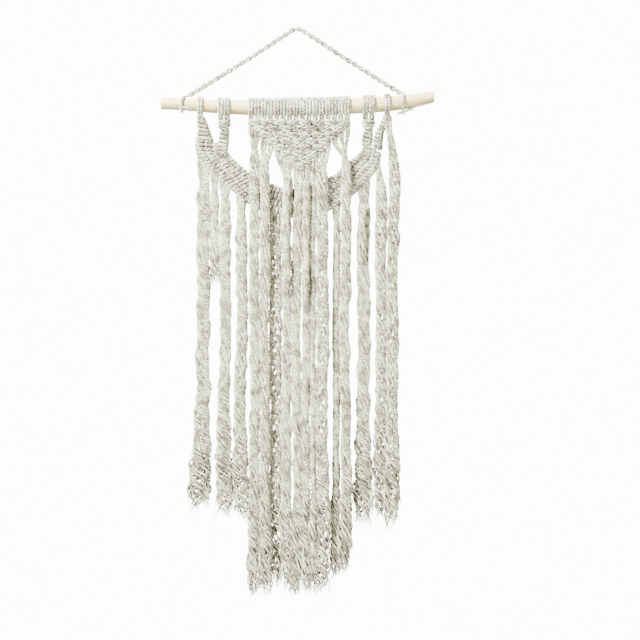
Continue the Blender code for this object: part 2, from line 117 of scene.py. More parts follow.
def smooth_line(points: list[Vector], steps: int) -> list[Vector]:
    """A smooth curve through points.

    Args:
        points: the points to pass through.
        steps: how many new points each stretch gets.

    Returns:
        The curve's points, the last one included.
    """
    line = []
    last = len(points) - 1
    for i in range(last):
        p0, p1 = points[max(i - 1, 0)], points[i]
        p2, p3 = points[i + 1], points[min(i + 2, last)]
        for step in range(steps):
            t = step / steps
            bend = (2 * p0 - 5 * p1 + 4 * p2 - p3) * t**2 + (3 * p1 - p0 - 3 * p2 + p3) * t**3
            line.append(p1 + 0.5 * ((p2 - p0) * t + bend))
    line.append(points[last].copy())
    return line


def smooth_value(table: list[tuple[float, ...]], at: float) -> list[float]:
    """Values read from a table with a soft passage between its rows.

    Args:
        table: rows of (position, value, ...), positions rising.
        at: the position to read.

    Returns:
        One number for each value column.
    """
    i = 0
    while i < len(table) - 2 and at > table[i + 1][0]:
        i += 1
    here, there = table[i], table[i + 1]
    share = min(max((at - here[0]) / (there[0] - here[0]), 0.0), 1.0)
    return [a + (b - a) * share for a, b in zip(here[1:], there[1:])]


class Route:
    """A line resampled to even steps, with cross directions that don't twist along it."""

    def __init__(self, points: list[Vector], step: float) -> None:
        """Resamples the line and carries a frame along it.

        Args:
            points: the line's points.
            step: the distance between the new points.
        """
        self.points: list[Vector] = [points[0].copy()]
        self.lengths: list[float] = [0.0]
        run, total = 0.0, 0.0
        for here, there in zip(points, points[1:]):
            span = (there - here).length
            total += span
            while run + step <= total and span > 0:
                run += step
                self.points.append(here.lerp(there, 1 - (total - run) / span))
                self.lengths.append(run)
        self.points.append(points[-1].copy())
        self.lengths.append(total)
        self.length = total
        self._carry_frame()

    def _carry_frame(self) -> None:
        """Works out two cross directions at each point, turned as little as possible."""
        self.across: list[Vector] = []
        self.beside: list[Vector] = []
        last = len(self.points) - 1
        cross = Vector((0.0, 1.0, 0.0))
        for i in range(last + 1):
            along = (self.points[min(i + 1, last)] - self.points[max(i - 1, 0)]).normalized()
            cross = cross - along * cross.dot(along)
            if cross.length < 1e-4:
                cross = along.orthogonal()
            cross.normalize()
            self.across.append(cross.copy())
            self.beside.append(along.cross(cross))

    def beside_it(self, i: int, angle: float, radius: float) -> Vector:
        """The point at an angle and a distance from the line's point i."""
        turn = self.across[i] * math.cos(angle) + self.beside[i] * math.sin(angle)
        return self.points[i] + turn * radius


# ---- cords ----


class Twist(Enum):
    """Which way a cord's plies turn."""

    Z = 1
    S = -1


@dataclass(frozen=True)
class Cord:
    """A twisted cotton cord.

    Attributes:
        width: outer diameter.
        plies: how many plies are twisted together.
        lay: length of one full turn of a ply.
        twist: which way they turn.
        step: distance between the points that its plies follow.
    """

    width: float
    plies: int
    lay: float
    twist: Twist
    step: float

    @property
    def ply_radius(self) -> float:
        """The radius at which the plies press on each other a little."""
        return 1.03 * self.width / 2 / (1 + 1 / math.sin(math.pi / self.plies))

    @property
    def helix_radius(self) -> float:
        """How far a ply's middle lies from the cord's."""
        return self.width / 2 - self.ply_radius


HITCH_CORD = Cord(width=4.0, plies=3, lay=13.0, twist=Twist.S, step=0.9)
KNOTTING_CORD = Cord(width=4.7, plies=3, lay=15.0, twist=Twist.S, step=0.9)
FRINGE_CORD = Cord(width=4.9, plies=3, lay=14.0, twist=Twist.S, step=2.0)
WRAP_CORD = Cord(width=4.3, plies=3, lay=13.0, twist=Twist.S, step=1.1)
SIDE_CORD = Cord(width=5.4, plies=3, lay=17.0, twist=Twist.S, step=1.0)
ROPE_STRAND = Cord(width=3.7, plies=3, lay=11.0, twist=Twist.S, step=1.2)
TIE_STRAND = Cord(width=3.0, plies=3, lay=10.0, twist=Twist.Z, step=0.8)


class Skein:
    """Gathers the plies of one piece as splines of a bevelled curve and makes them a mesh.

    Two attributes go with the surface. "fibre" is a place on the ply: millimetres along it, then across
    it both ways. "facing" is 1 where the ply faces out of its cord and 0 where it faces the cord's core.
    """

    SIDES = 6

    def __init__(self, name: str) -> None:
        """Starts an empty curve.

        Args:
            name: the piece's name.
        """
        self.name = name
        self.laid: list[Vector] = []
        self.lines: list[tuple[list[Vector], list[Vector], list[float]]] = []
        self.curve = bpy.data.curves.new(name, "CURVE")
        self.curve.dimensions = "3D"
        self.curve.bevel_depth = MM
        self.curve.bevel_resolution = 1
        self.curve.use_fill_caps = True

    def ply(self, points: list[Vector], cores: list[Vector], radii: list[float]) -> None:
        """Adds one round strand.

        Args:
            points: its middle line.
            cores: the middle of its cord beside each point.
            radii: its radius at each point.
        """
        self.laid += points[::3] + points[-1:]
        self.lines.append((points, cores, radii))
        spline = self.curve.splines.new("POLY")
        spline.points.add(len(points) - 1)
        places: list[float] = []
        for point in points:
            places += [point.x * MM, point.y * MM, point.z * MM, 1.0]
        spline.points.foreach_set("co", places)
        spline.points.foreach_set("radius", radii)

    def cord(self, route: Route, cord: Cord, phase: float = 0.0) -> None:
        """Lays a whole twisted cord along a route.

        Args:
            route: where it runs.
            cord: what it is made of.
            phase: where the first ply starts, in radians.
        """
        for k in range(cord.plies):
            start = phase + k * math.tau / cord.plies
            points = []
            for i, length in enumerate(route.lengths):
                angle = start + cord.twist.value * math.tau * length / cord.lay
                points.append(route.beside_it(i, angle, cord.helix_radius))
            self.ply(points, route.points, [cord.ply_radius] * len(points))

    def _ring_corners(self) -> int:
        """How many of the mesh's corners belong to the plies' rings rather than to their caps."""
        return sum(len(points) for points, _, _ in self.lines) * self.SIDES

    def _mark_surface(self, mesh: bpy.types.Mesh) -> None:
        """Writes the two attributes on the finished mesh.

        Args:
            mesh: the piece's mesh, its caps and then a ring of corners for each point of each ply.
        """
        corners = np.empty(len(mesh.vertices) * 3, dtype=np.float32)
        mesh.vertices.foreach_get("co", corners)
        corners = corners.reshape(-1, 3) / MM
        fibre = np.zeros((len(mesh.vertices), 3), dtype=np.float32)
        facing = np.ones(len(mesh.vertices), dtype=np.float32)
        # the curve's end caps come first in the mesh, and the rings follow ply by ply
        start = len(mesh.vertices) - self._ring_corners()
        turns = np.arange(self.SIDES) * math.tau / self.SIDES
        for number, (points, cores, radii) in enumerate(self.lines):
            middle = np.array(points)
            size = np.array(radii)[:, None]
            count = len(points) * self.SIDES
            ring = corners[start : start + count].reshape(-1, self.SIDES, 3) - middle[:, None, :]
            out = middle - np.array(cores)
            out /= np.maximum(np.linalg.norm(out, axis=1, keepdims=True), 1e-6)
            facing[start : start + count] = (0.5 + 0.5 * (ring * out[:, None, :]).sum(axis=2) / size).ravel()
            steps = np.linalg.norm(np.diff(middle, axis=0), axis=1)
            along = np.concatenate(([0.0], np.cumsum(steps)))[:, None] + 137.0 * number
            place = [np.repeat(along, self.SIDES, axis=1), size * np.cos(turns), size * np.sin(turns)]
            fibre[start : start + count] = np.stack(place, axis=2).reshape(-1, 3)
            start += count
        mesh.attributes.new("fibre", "FLOAT_VECTOR", "POINT").data.foreach_set("vector", fibre.ravel())
        mesh.attributes.new("facing", "FLOAT", "POINT").data.foreach_set("value", facing)

    def piece(self, finish: bpy.types.Material, slot: str) -> bpy.types.Object:
        """Turns the curve into a smooth mesh piece.

        Args:
            finish: its material.
            slot: the record's slot that it belongs to; not used.

        Returns:
            The new object, at the origin.
        """
        holder = bpy.data.objects.new(self.name + "_line", self.curve)
        bpy.context.scene.collection.objects.link(holder)
        mesh = bpy.data.meshes.new_from_object(holder)
        bpy.data.objects.remove(holder)
        bpy.data.curves.remove(self.curve)
        mesh.name = self.name
        mesh.materials.clear()
        mesh.materials.append(finish)
        mesh.shade_smooth()
        self._mark_surface(mesh)
        made = bpy.data.objects.new(self.name, mesh)
        bpy.context.scene.collection.objects.link(made)
        caps = len(mesh.vertices) - self._ring_corners()
        LOG.info("%s: %d triangles, %d corners in caps", self.name, 2 * len(mesh.polygons), caps)
        return made

    def stand_in(self, node: str, body: str, finish: bpy.types.Material, slot: str) -> bpy.types.Object:
        """Turns the curve into a piece that takes a CAD node's place on a body.

        Args:
            node: the CAD node it stands for.
            body: the body it rides on.
            finish: its material.
            slot: the record's slot that it belongs to.

        Returns:
            The new object, at the origin.
        """
        made = self.piece(finish, slot)
        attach(made, body)
        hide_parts(node)
        return made


# ---- finishes ----


def linear(code: str) -> tuple[float, float, float, float]:
    """An sRGB hex colour as linear red, green, blue and alpha.

    Args:
        code: six hex digits after a hash sign.

    Returns:
        The four linear values.
    """
    values = [int(code[i : i + 2], 16) / 255 for i in (1, 3, 5)]
    return (*[v / 12.92 if v <= 0.04045 else ((v + 0.055) / 1.055) ** 2.4 for v in values], 1.0)


def add_node(
    tree: bpy.types.NodeTree,
    kind: str,
    settings: dict[str, object] | None = None,
    **links: object,
) -> bpy.types.Node:
    """Adds a shader node, sets it up and wires its inputs.

    Args:
        tree: the material's node tree.
        kind: the node's type name.
        settings: attributes of the node to set.
        links: an input's name with spaces as underscores, and a value or an output socket.

    Returns:
        The node.
    """
    node = tree.nodes.new(kind)
    for name, value in (settings or {}).items():
        setattr(node, name, value)
    for name, value in links.items():
        key = name.replace("_", " ")
        socket = node.inputs[int(key[1:])] if key[0] == "i" and key[1:].isdigit() else node.inputs[key]
        if isinstance(value, bpy.types.NodeSocket):
            tree.links.new(value, socket)
        else:
            socket.default_value = value
    return node


@dataclass(frozen=True)
class CottonFinish:
    """Unbleached cotton cord: carded cotton, spun and plied, undyed and matt, with a soft nap.

    Attributes:
        name: the material's name.
        light: colour of the fibres, away from the greyer patches and the painted shade.
        shade: colour of the patches that are a little greyer, and of the shade painted in the grooves between
            the plies.
        nap_mm: how far the fibre clumps stand up.
        groove: how much of the light colour is left in the shade painted between the plies.
    """

    name: str
    light: str
    shade: str
    nap_mm: float = 0.35
    groove: float = 0.0

    def material(self) -> bpy.types.Material:
        """Builds the material."""
        made = bpy.data.materials.new(self.name)
        made.use_nodes = True
        tree = made.node_tree
        shader = tree.nodes["Principled BSDF"]
        place = add_node(tree, "ShaderNodeTexCoord").outputs["Object"]
        patches = add_node(tree, "ShaderNodeTexNoise", Vector=place, Scale=1 / (11 * MM), Detail=2.0)
        # the fibres lie along the ply: streaks some 7 mm long and under 1 mm wide, in millimetres
        fibre = add_node(tree, "ShaderNodeAttribute", {"attribute_name": "fibre"}).outputs["Vector"]
        fine = add_node(tree, "ShaderNodeMapping", Vector=fibre, Scale=(1 / 6, 1 / 0.5, 1 / 0.5))
        fine = add_node(tree, "ShaderNodeTexNoise", Vector=fine.outputs[0], Scale=1.0, Detail=3.0)
        # loosely spun clumps catch the light unevenly, in flecks 3 to 4 mm long
        fleck = add_node(tree, "ShaderNodeMapping", Vector=fibre, Scale=(1 / 4.2, 1 / 1.6, 1 / 1.6))
        fleck = add_node(tree, "ShaderNodeTexNoise", Vector=fleck.outputs[0], Scale=1.0, Detail=1.0)
        tone = self._math(tree, "MULTIPLY", patches.outputs["Fac"], fleck.outputs["Fac"])
        tone = self._math(tree, "MULTIPLY", tone, fine.outputs["Fac"])
        tone = add_node(tree, "ShaderNodeMapRange", Value=tone, From_Min=0.08, From_Max=0.165)
        # painted shade in the grooves between the plies: the colour turns to the shade colour where a ply
        # faces its cord's core
        out = add_node(tree, "ShaderNodeAttribute", {"attribute_name": "facing"}).outputs["Fac"]
        out = add_node(
            tree,
            "ShaderNodeMapRange",
            {"interpolation_type": "SMOOTHSTEP"},
            Value=out,
            From_Min=0.3,
            From_Max=0.9,
            To_Min=self.groove,
        )
        blend = add_node(
            tree,
            "ShaderNodeMix",
            {"data_type": "RGBA"},
            i0=self._math(tree, "MULTIPLY", tone.outputs[0], out.outputs[0]),
            i6=linear(self.shade),
            i7=linear(self.light),
        )
        bump = add_node(
            tree,
            "ShaderNodeBump",
            Height=self._math(tree, "ADD", fine.outputs["Fac"], fleck.outputs["Fac"]),
            Distance=self.nap_mm * MM,
            Strength=1.0,
        )
        tree.links.new(blend.outputs[2], shader.inputs["Base Color"])
        tree.links.new(bump.outputs["Normal"], shader.inputs["Normal"])
        shader.inputs["Roughness"].default_value = 0.92
        shader.inputs["IOR"].default_value = 1.45
        shader.inputs["Specular IOR Level"].default_value = 0.25
        shader.inputs["Sheen Weight"].default_value = 0.25
        shader.inputs["Sheen Roughness"].default_value = 0.6
        return made

    @staticmethod
    def _math(tree: bpy.types.NodeTree, operation: str, first: object, second: object) -> object:
        """The output socket of a sum or product of two sockets."""
        return add_node(tree, "ShaderNodeMath", {"operation": operation}, i0=first, i1=second).outputs[0]


@dataclass(frozen=True)
class StickFinish:
    """A peeled willow branch, dried and left bare: pale sapwood with fine grain and dark knots.

    Attributes:
        name: the material's name.
        sapwood: the pale wood.
        grain: the darker streaks along it.
        under: colour of the underside, which grows darker and warmer towards the bottom and the back: partly
            the wood's own tone, partly painted shade.
        knot: the knots and checks.
        knots: x and z of the knots in the stick, and their radius, in millimetres.
    """

    name: str
    sapwood: str
    grain: str
    under: str
    knot: str
    knots: tuple[tuple[float, float, float, float], ...]

    def material(self) -> bpy.types.Material:
        """Builds the material."""
        made = bpy.data.materials.new(self.name)
        made.use_nodes = True
        tree = made.node_tree
        shader = tree.nodes["Principled BSDF"]
        place = add_node(tree, "ShaderNodeTexCoord").outputs["Object"]
        # the grain runs along X: streaks 1 mm wide and some 40 mm long
        along = add_node(tree, "ShaderNodeMapping", Vector=place, Scale=(1 / (40 * MM), 1 / MM, 1 / MM))
        fine = add_node(tree, "ShaderNodeTexNoise", Vector=along.outputs[0], Scale=0.9, Detail=6.0)
        wide = add_node(tree, "ShaderNodeMapping", Vector=place, Scale=(1 / (60 * MM), 0.2 / MM, 0.2 / MM))
        broad = add_node(tree, "ShaderNodeTexNoise", Vector=wide.outputs[0], Scale=1.0, Detail=3.0)
        streak = add_node(
            tree, "ShaderNodeMapRange", Value=fine.outputs["Fac"], From_Min=0.45, From_Max=0.75
        )
        wood = self._mix(tree, streak.outputs[0], linear(self.sapwood), linear(self.grain))
        # the wood turns to the underside colour in broad patches towards the bottom and the back: partly its
        # own tone, partly painted shade
        low = add_node(tree, "ShaderNodeAttribute", {"attribute_name": "underside"})
        underside_tone_and_shade = add_node(
            tree, "ShaderNodeMath", {"operation": "MULTIPLY"}, i0=low.outputs["Fac"], i1=broad.outputs["Fac"]
        )
        underside_tone_and_shade = add_node(
            tree, "ShaderNodeMapRange", Value=underside_tone_and_shade.outputs[0], From_Min=0.1, From_Max=0.55, To_Max=0.85
        )
        wood = self._mix(tree, underside_tone_and_shade.outputs[0], wood, linear(self.under))
        # drying checks: thin dark lines where stretched noise peaks
        check = add_node(tree, "ShaderNodeMapping", Vector=place, Scale=(1 / (28 * MM), 0.55 / MM, 0.55 / MM))
        check = add_node(tree, "ShaderNodeTexNoise", Vector=check.outputs[0], Scale=1.0, Detail=1.0)
        check = add_node(
            tree, "ShaderNodeMapRange", Value=check.outputs["Fac"], From_Min=0.71, From_Max=0.77, To_Max=0.8
        )
        wood = self._mix(tree, check.outputs[0], wood, linear(self.knot))
        for x, y, z, radius in self.knots:
            gap = add_node(
                tree, "ShaderNodeVectorMath", {"operation": "DISTANCE"}, i0=place, i1=(x * MM, y * MM, z * MM)
            )
            spot = add_node(
                tree,
                "ShaderNodeMapRange",
                {"interpolation_type": "SMOOTHSTEP"},
                Value=gap.outputs["Value"],
                From_Min=0.5 * radius * MM,
                From_Max=1.5 * radius * MM,
                To_Min=0.9,
                To_Max=0.0,
            )
            wood = self._mix(tree, spot.outputs[0], wood, linear(self.knot))
        height = add_node(
            tree,
            "ShaderNodeMath",
            {"operation": "SUBTRACT"},
            i0=fine.outputs["Fac"],
            i1=check.outputs[0],
        )
        bump = add_node(tree, "ShaderNodeBump", Height=height.outputs[0], Distance=0.35 * MM, Strength=0.7)
        tree.links.new(wood, shader.inputs["Base Color"])
        tree.links.new(bump.outputs["Normal"], shader.inputs["Normal"])
        shader.inputs["Roughness"].default_value = 0.62
        shader.inputs["IOR"].default_value = 1.5
        return made

    @staticmethod
    def _mix(tree: bpy.types.NodeTree, share: object, first: object, second: object) -> object:
        """Mixes two colours.

        Args:
            tree: the material's node tree.
            share: output socket with the second colour's share.
            first: a colour or an output socket.
            second: a colour or an output socket.

        Returns:
            The mixed colour's output socket.
        """
        node = add_node(tree, "ShaderNodeMix", {"data_type": "RGBA"}, i0=share, i6=first, i7=second)
        return node.outputs[2]


# ---- what the frame says ----


class Slices:
    """A CAD node cut into the stations it was lofted through."""

    def __init__(self, node: bpy.types.Object, axis: int) -> None:
        """Groups the node's corners by their place along an axis.

        Args:
            node: the CAD node.
            axis: 0 for X, 2 for Z.
        """
        groups: dict[int, list[Vector]] = {}
        for vertex in node.data.vertices:
            point = vertex.co / MM
            groups.setdefault(round(point[axis] * 5), []).append(point)
        self.rows: list[tuple[float, ...]] = []
        for key in sorted(groups):
            corners = groups[key]
            low = [min(c[k] for c in corners) for k in range(3)]
            high = [max(c[k] for c in corners) for k in range(3)]
            middle = [(a + b) / 2 for a, b in zip(low, high)]
            half = [(b - a) / 2 for a, b in zip(low, high)]
            self.rows.append((middle[axis], *middle, *half))

    def at(self, place: float) -> tuple[Vector, Vector]:
        """The slice's middle and half size at a place along the axis."""
        values = smooth_value(self.rows, place)
        return Vector(values[:3]), Vector(values[3:])


class Frame:
    """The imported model's pieces and places, in millimetres."""

    def __init__(self) -> None:
        """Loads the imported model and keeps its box."""
        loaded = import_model()
        self.nodes: dict[str, bpy.types.Object] = loaded["nodes"]
        self.joints: dict[str, dict] = {joint["child"]: joint for joint in loaded["joints"]}
        self.cad_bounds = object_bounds()
        self.stick = Slices(self.nodes["dowel"], 0)
        # a twelve-sided ring with flats up and down is this much lower than its corners
        self.facet = math.cos(math.pi / 12)

    def box(self, node: str) -> tuple[Vector, Vector]:
        """Lowest and highest corner of a CAD node."""
        low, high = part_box(node)
        return low / MM, high / MM

    def stick_at(self, x: float) -> tuple[float, float]:
        """Height of the stick's middle, and its radius, at x."""
        middle, half = self.stick.at(x)
        return middle.z, half.z / self.facet

    def parent(self, body: str) -> str:
        """The body that a body hangs from."""
        return self.joints[body]["parent"]


# ---- the stick ----


@dataclass
class Stick:
    """The peeled branch that everything is tied to.

    Attributes:
        frame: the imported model.
        finish: its material.
        sides: corners of each ring.
        station_mm: distance between rings.
        ripple_mm: how uneven the surface is.
    """

    frame: Frame
    finish: StickFinish
    sides: int = 44
    station_mm: float = 2.2
    ripple_mm: float = 0.35

    def surface(self, x: float, angle: float) -> Vector:
        """A point on the branch.

        Args:
            x: place along it.
            angle: round it, from the top.

        Returns:
            The point.
        """
        z, radius = self.frame.stick_at(x)
        out = Vector((0.0, math.sin(angle), math.cos(angle)))
        slow = noise.noise(Vector((x / 45, out.y * 0.8, out.z * 0.8)))
        ridge = noise.noise(Vector((x / 30, out.y * 3.5 + 9, out.z * 3.5)))
        size = radius + self.ripple_mm * (slow + 0.45 * ridge)
        for knot_x, knot_y, knot_z, knot_radius in self.finish.knots:
            gap = (Vector((x, out.y * radius, z + out.z * radius)) - Vector((knot_x, knot_y, knot_z))).length
            size += 0.5 * math.exp(-((gap / (1.6 * knot_radius)) ** 2))
        return Vector((x, 0.0, z)) + out * size

    def build(self) -> bpy.types.Object:
        """Extrudes the branch ring by ring, closes its sawn ends and dresses it.

        Returns:
            The piece.
        """
        low, high = self.frame.box("dowel")
        count = round((high.x - low.x) / self.station_mm)
        shape = bmesh.new()
        tag = shape.verts.layers.float.new("underside")
        start = bmesh.ops.create_circle(shape, segments=self.sides, radius=1.0)["verts"]
        angles = [math.atan2(v.co.y, v.co.x) for v in start]
        ring = start
        for i in range(count + 1):
            x = low.x + (high.x - low.x) * i / count
            if i:
                edges = [shape.edges.get((ring[k - 1], ring[k])) for k in range(self.sides)]
                bmesh.ops.extrude_edge_only(shape, edges=edges)
                ring = [corner.link_edges[-1].other_vert(corner) for corner in ring]
            worn = 0.93 if i in (0, count) else 1.0
            middle = Vector((x, 0.0, self.frame.stick_at(x)[0]))
            for vert, angle in zip(ring, angles):
                vert.co = (middle + (self.surface(x, angle) - middle) * worn) * MM
                # share of the underside colour, partly the wood's tone and partly painted shade: 0 on top, 1
                # underneath, more towards the back
                vert[tag] = 0.5 - 0.5 * math.cos(angle) + 0.25 * max(0.0, math.sin(angle))
        for end in (start, ring):
            face = shape.faces.new(end)
            bmesh.ops.inset_individual(shape, faces=[face], thickness=1.6 * MM, depth=0.0)
        bmesh.ops.recalc_face_normals(shape, faces=shape.faces)
        mesh = bpy.data.meshes.new("peeled_stick")
        shape.to_mesh(mesh)
        shape.free()
        mesh.materials.append(self.finish.material())
        mesh.shade_smooth()
        mesh.set_sharp_from_angle(angle=math.radians(50))
        stick = bpy.data.objects.new("peeled_stick", mesh)
        bpy.context.scene.collection.objects.link(stick)
        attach(stick, "dowel")
        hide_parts("dowel")
        LOG.info("peeled_stick: %d faces", len(mesh.polygons))
        return stick


# ---- the hanger ----


@dataclass
class Hanger:
    """The twisted rope and the two ties that hold the stick.

    Attributes:
        frame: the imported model.
        cotton: the rope's material.
        strands: how many strands are twisted into the rope.
        lay: length of one full turn of a strand.
        strand_offset: how far a strand's middle lies from the rope's.
    """

    frame: Frame
    cotton: bpy.types.Material
    strands: int = 2
    lay: float = 19.0
    strand_offset: float = 1.75

    def rope_line(self) -> list[Vector]:
        """The rope's middle line, from its left end over the nail to its right end."""
        low, high = self.frame.box("hanger_rope")
        left = Vector((low.x + 2.4, 0.0, low.z + 3.0))
        right = Vector((high.x - 2.4, 0.0, self._right_end() + 3.0))
        top = Vector((0.0, 0.0, high.z - 3.0))
        reach = 9.0
        first = top + (left - top).normalized() * reach
        second = top + (right - top).normalized() * reach
        bend = []
        for i in range(7):
            t = i / 6
            bend.append(first * (1 - t) ** 2 + top * 2 * t * (1 - t) + second * t**2)
        left_side = self._sagging(left, first, 1.2)
        right_side = self._sagging(right, second, 0.8)[::-1]
        return smooth_line(left_side + bend + right_side, 6)

    @staticmethod
    def _sagging(low: Vector, high: Vector, sag: float) -> list[Vector]:
        """Points from the rope's low end towards its bend, hanging a little below the straight line."""
        shares = (0, 0.3, 0.6, 0.85)
        return [low.lerp(high, share) - Vector((0, 0, sag * math.sin(math.pi * share))) for share in shares]

    def _right_end(self) -> float:
        """Lowest height of the rope's right half."""
        return min(v.co.z for v in self.frame.nodes["hanger_rope"].data.vertices if v.co.x > 0) / MM

    def build(self) -> None:
        """Lays the rope and both ties."""
        line = self.rope_line()
        route = Route(line, 1.2)
        skein = Skein("hanger_rope_strands")
        for k in range(self.strands):
            start = k * math.tau / self.strands
            strand = []
            for i, length in enumerate(route.lengths):
                angle = start + math.tau * length / self.lay
                strand.append(route.beside_it(i, angle, self.strand_offset))
            skein.cord(Route(strand, ROPE_STRAND.step), ROPE_STRAND, start)
        rope = skein.stand_in("hanger_rope", "hanger", self.cotton, "hanger_rope_cotton")
        self._tie("tie_left", line[0], -1, (-3.5, -100.5), ((-9.0, -1.0, 1.0), (13.0, -2.0, -4.5)))
        self._tie("tie_right", line[-1], 1, (-1.0, -106.0), ((-8.0, -2.0, -3.5), (15.0, -1.0, 3.5)))

    def _tie(
        self,
        node: str,
        rope_end: Vector,
        side: int,
        knot_place: tuple[float, float],
        tails: tuple[tuple[float, float, float], ...],
    ) -> None:
        """Winds one strand round the stick, knots it and leaves two tails.

        Args:
            node: the CAD node it stands for.
            rope_end: where the rope ends.
            side: -1 at the left end of the stick, 1 at the right.
            knot_place: the knot's x from the tie's middle, and its height.
            tails: where the tails end, from the knot.
        """
        high = self.frame.box(node)[1]
        ring = [v.co / MM for v in self.frame.nodes[node].data.vertices if v.co.z / MM > high.z - 0.4]
        x = sum(point.x for point in ring) / len(ring)
        z, radius = self.frame.stick_at(x)
        round_it = radius + 0.5 + TIE_STRAND.width / 2
        shift = knot_place[0]
        knot = Vector((x + shift, 0.0, knot_place[1]))
        knot.y = -math.sqrt(max((round_it + 1.2) ** 2 - (knot.z - z) ** 2, 4.0))
        front, back = [rope_end.copy()], [rope_end.copy() + Vector((0, 1.5, 0))]
        for degrees in (78, 50, 20, -8):
            turn = math.radians(degrees)
            share = (90 - degrees) / 110
            front.append(
                Vector((x + shift * share, -math.cos(turn) * round_it, z + math.sin(turn) * round_it))
            )
        front.append(knot)
        for degrees in (100, 130, 165, 200, 235, 262):
            turn = math.radians(degrees)
            share = ease((degrees - 100) / 180)
            back.append(
                Vector((x + shift * share, -math.cos(turn) * round_it, z + math.sin(turn) * round_it))
            )
        back.append(knot + Vector((0.6, 0.8, -0.6)))
        skein = Skein(node + "_strand")
        for line in (front, back):
            skein.cord(Route(smooth_line(line, 8), TIE_STRAND.step), TIE_STRAND)
        skein.cord(Route(smooth_line(self._overhand(knot), 8), TIE_STRAND.step), TIE_STRAND)
        for tail in tails:
            end = knot + Vector(tail)
            middle = knot.lerp(end, 0.5) + Vector((0.0, -0.8, 1.3))
            route = Route(smooth_line([knot, middle, end], 8), TIE_STRAND.step)
            self._frayed(skein, route)
        skein.stand_in(node, "hanger", self.cotton, "hanger_rope_cotton")
        LOG.info("%s on side %d", node, side)

    @staticmethod
    def _overhand(knot: Vector) -> list[Vector]:
        """The middle line of the small knot's wrap."""
        points = []
        for i in range(11):
            turn = i / 10 * 1.6 * math.tau
            depth = -1.0 + 0.9 * math.sin(0.7 * turn)
            points.append(knot + Vector((1.9 * math.cos(turn), depth, 2.1 * math.sin(turn))))
        return points

    @staticmethod
    def _frayed(skein: Skein, route: Route) -> None:
        """A tail whose plies part towards its end.

        Args:
            skein: the piece it belongs to.
            route: where it runs.
        """
        for k in range(TIE_STRAND.plies):
            points, radii = [], []
            for i, length in enumerate(route.lengths):
                share = length / route.length
                angle = k * math.tau / TIE_STRAND.plies + math.tau * length / TIE_STRAND.lay
                points.append(route.beside_it(i, angle, TIE_STRAND.helix_radius * (1 + 1.6 * share**2)))
                radii.append(TIE_STRAND.ply_radius * (1 - 0.45 * share**3))
            skein.ply(points, route.points, radii)


# ---- the hitches on the stick ----


@dataclass
class Hitches:
    """Folded cords looped round the stick side by side, each with its loop's bar behind.

    Attributes:
        frame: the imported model.
        cotton: the cords' material.
        pitch: distance between neighbouring strands.
        seat: how far a strand's skin stays off the wood.
    """

    frame: Frame
    cotton: bpy.types.Material
    pitch: float = 4.1
    seat: float = 0.15

    def build(self) -> None:
        """Makes one piece for each group of hitches."""
        for node in sorted(n for n in self.frame.nodes if n.startswith("hitch_")):
            low, high = self.frame.box(node)
            strands = round((high.x - low.x + 0.3) / self.pitch)
            skein = Skein(node + "_cords")
            for pair in range(strands // 2):
                first = low.x + (2 * pair + 0.5) * self.pitch - 0.15
                self._folded_cord(skein, first, low.z, "centre" in node)
            skein.stand_in(node, "dowel", self.cotton, "knotted_cotton")

    def _folded_cord(self, skein: Skein, x: float, bottom: float, centre: bool) -> None:
        """One cord folded over the stick and pulled through its own loop.

        Args:
            skein: the piece it belongs to.
            x: where its left strand lies.
            bottom: height at which its strands leave the hitch.
            centre: whether it feeds the triangle, which hangs a little in front.
        """
        lean = -2.6 if centre else 0.0
        wobble = noise.noise(Vector((x / 5, 0, 0)))
        left = self._strand(x + 0.15, bottom, lean, wobble)
        right = self._strand(x + self.pitch - 0.15, bottom, lean, -wobble)
        line = smooth_line(left + right[::-1], 5)
        skein.cord(Route(line, HITCH_CORD.step), HITCH_CORD, wobble * 3)

    def _strand(self, x: float, bottom: float, lean: float, wobble: float) -> list[Vector]:
        """One strand from under the stick, up its front, over it and down behind.

        Args:
            x: where it lies.
            bottom: height of its lower end.
            lean: how far in front its lower end hangs.
            wobble: a small unevenness, from -1 to 1.

        Returns:
            The strand's points.
        """
        z, radius = self.frame.stick_at(x)
        size = radius + self.seat + HITCH_CORD.width / 2
        points = [Vector((x, lean, bottom - 1.0)), Vector((x, lean - 2.2, bottom + 1.6))]
        for degrees in (-48, -20, 8, 36, 64, 92, 120, 150, 180, 210, 232):
            turn = math.radians(degrees)
            side = 0.35 * wobble * math.sin(turn * 1.3)
            points.append(Vector((x + side, -math.cos(turn) * size, z + math.sin(turn) * size)))
        return points


# ---- the triangle of square knots ----


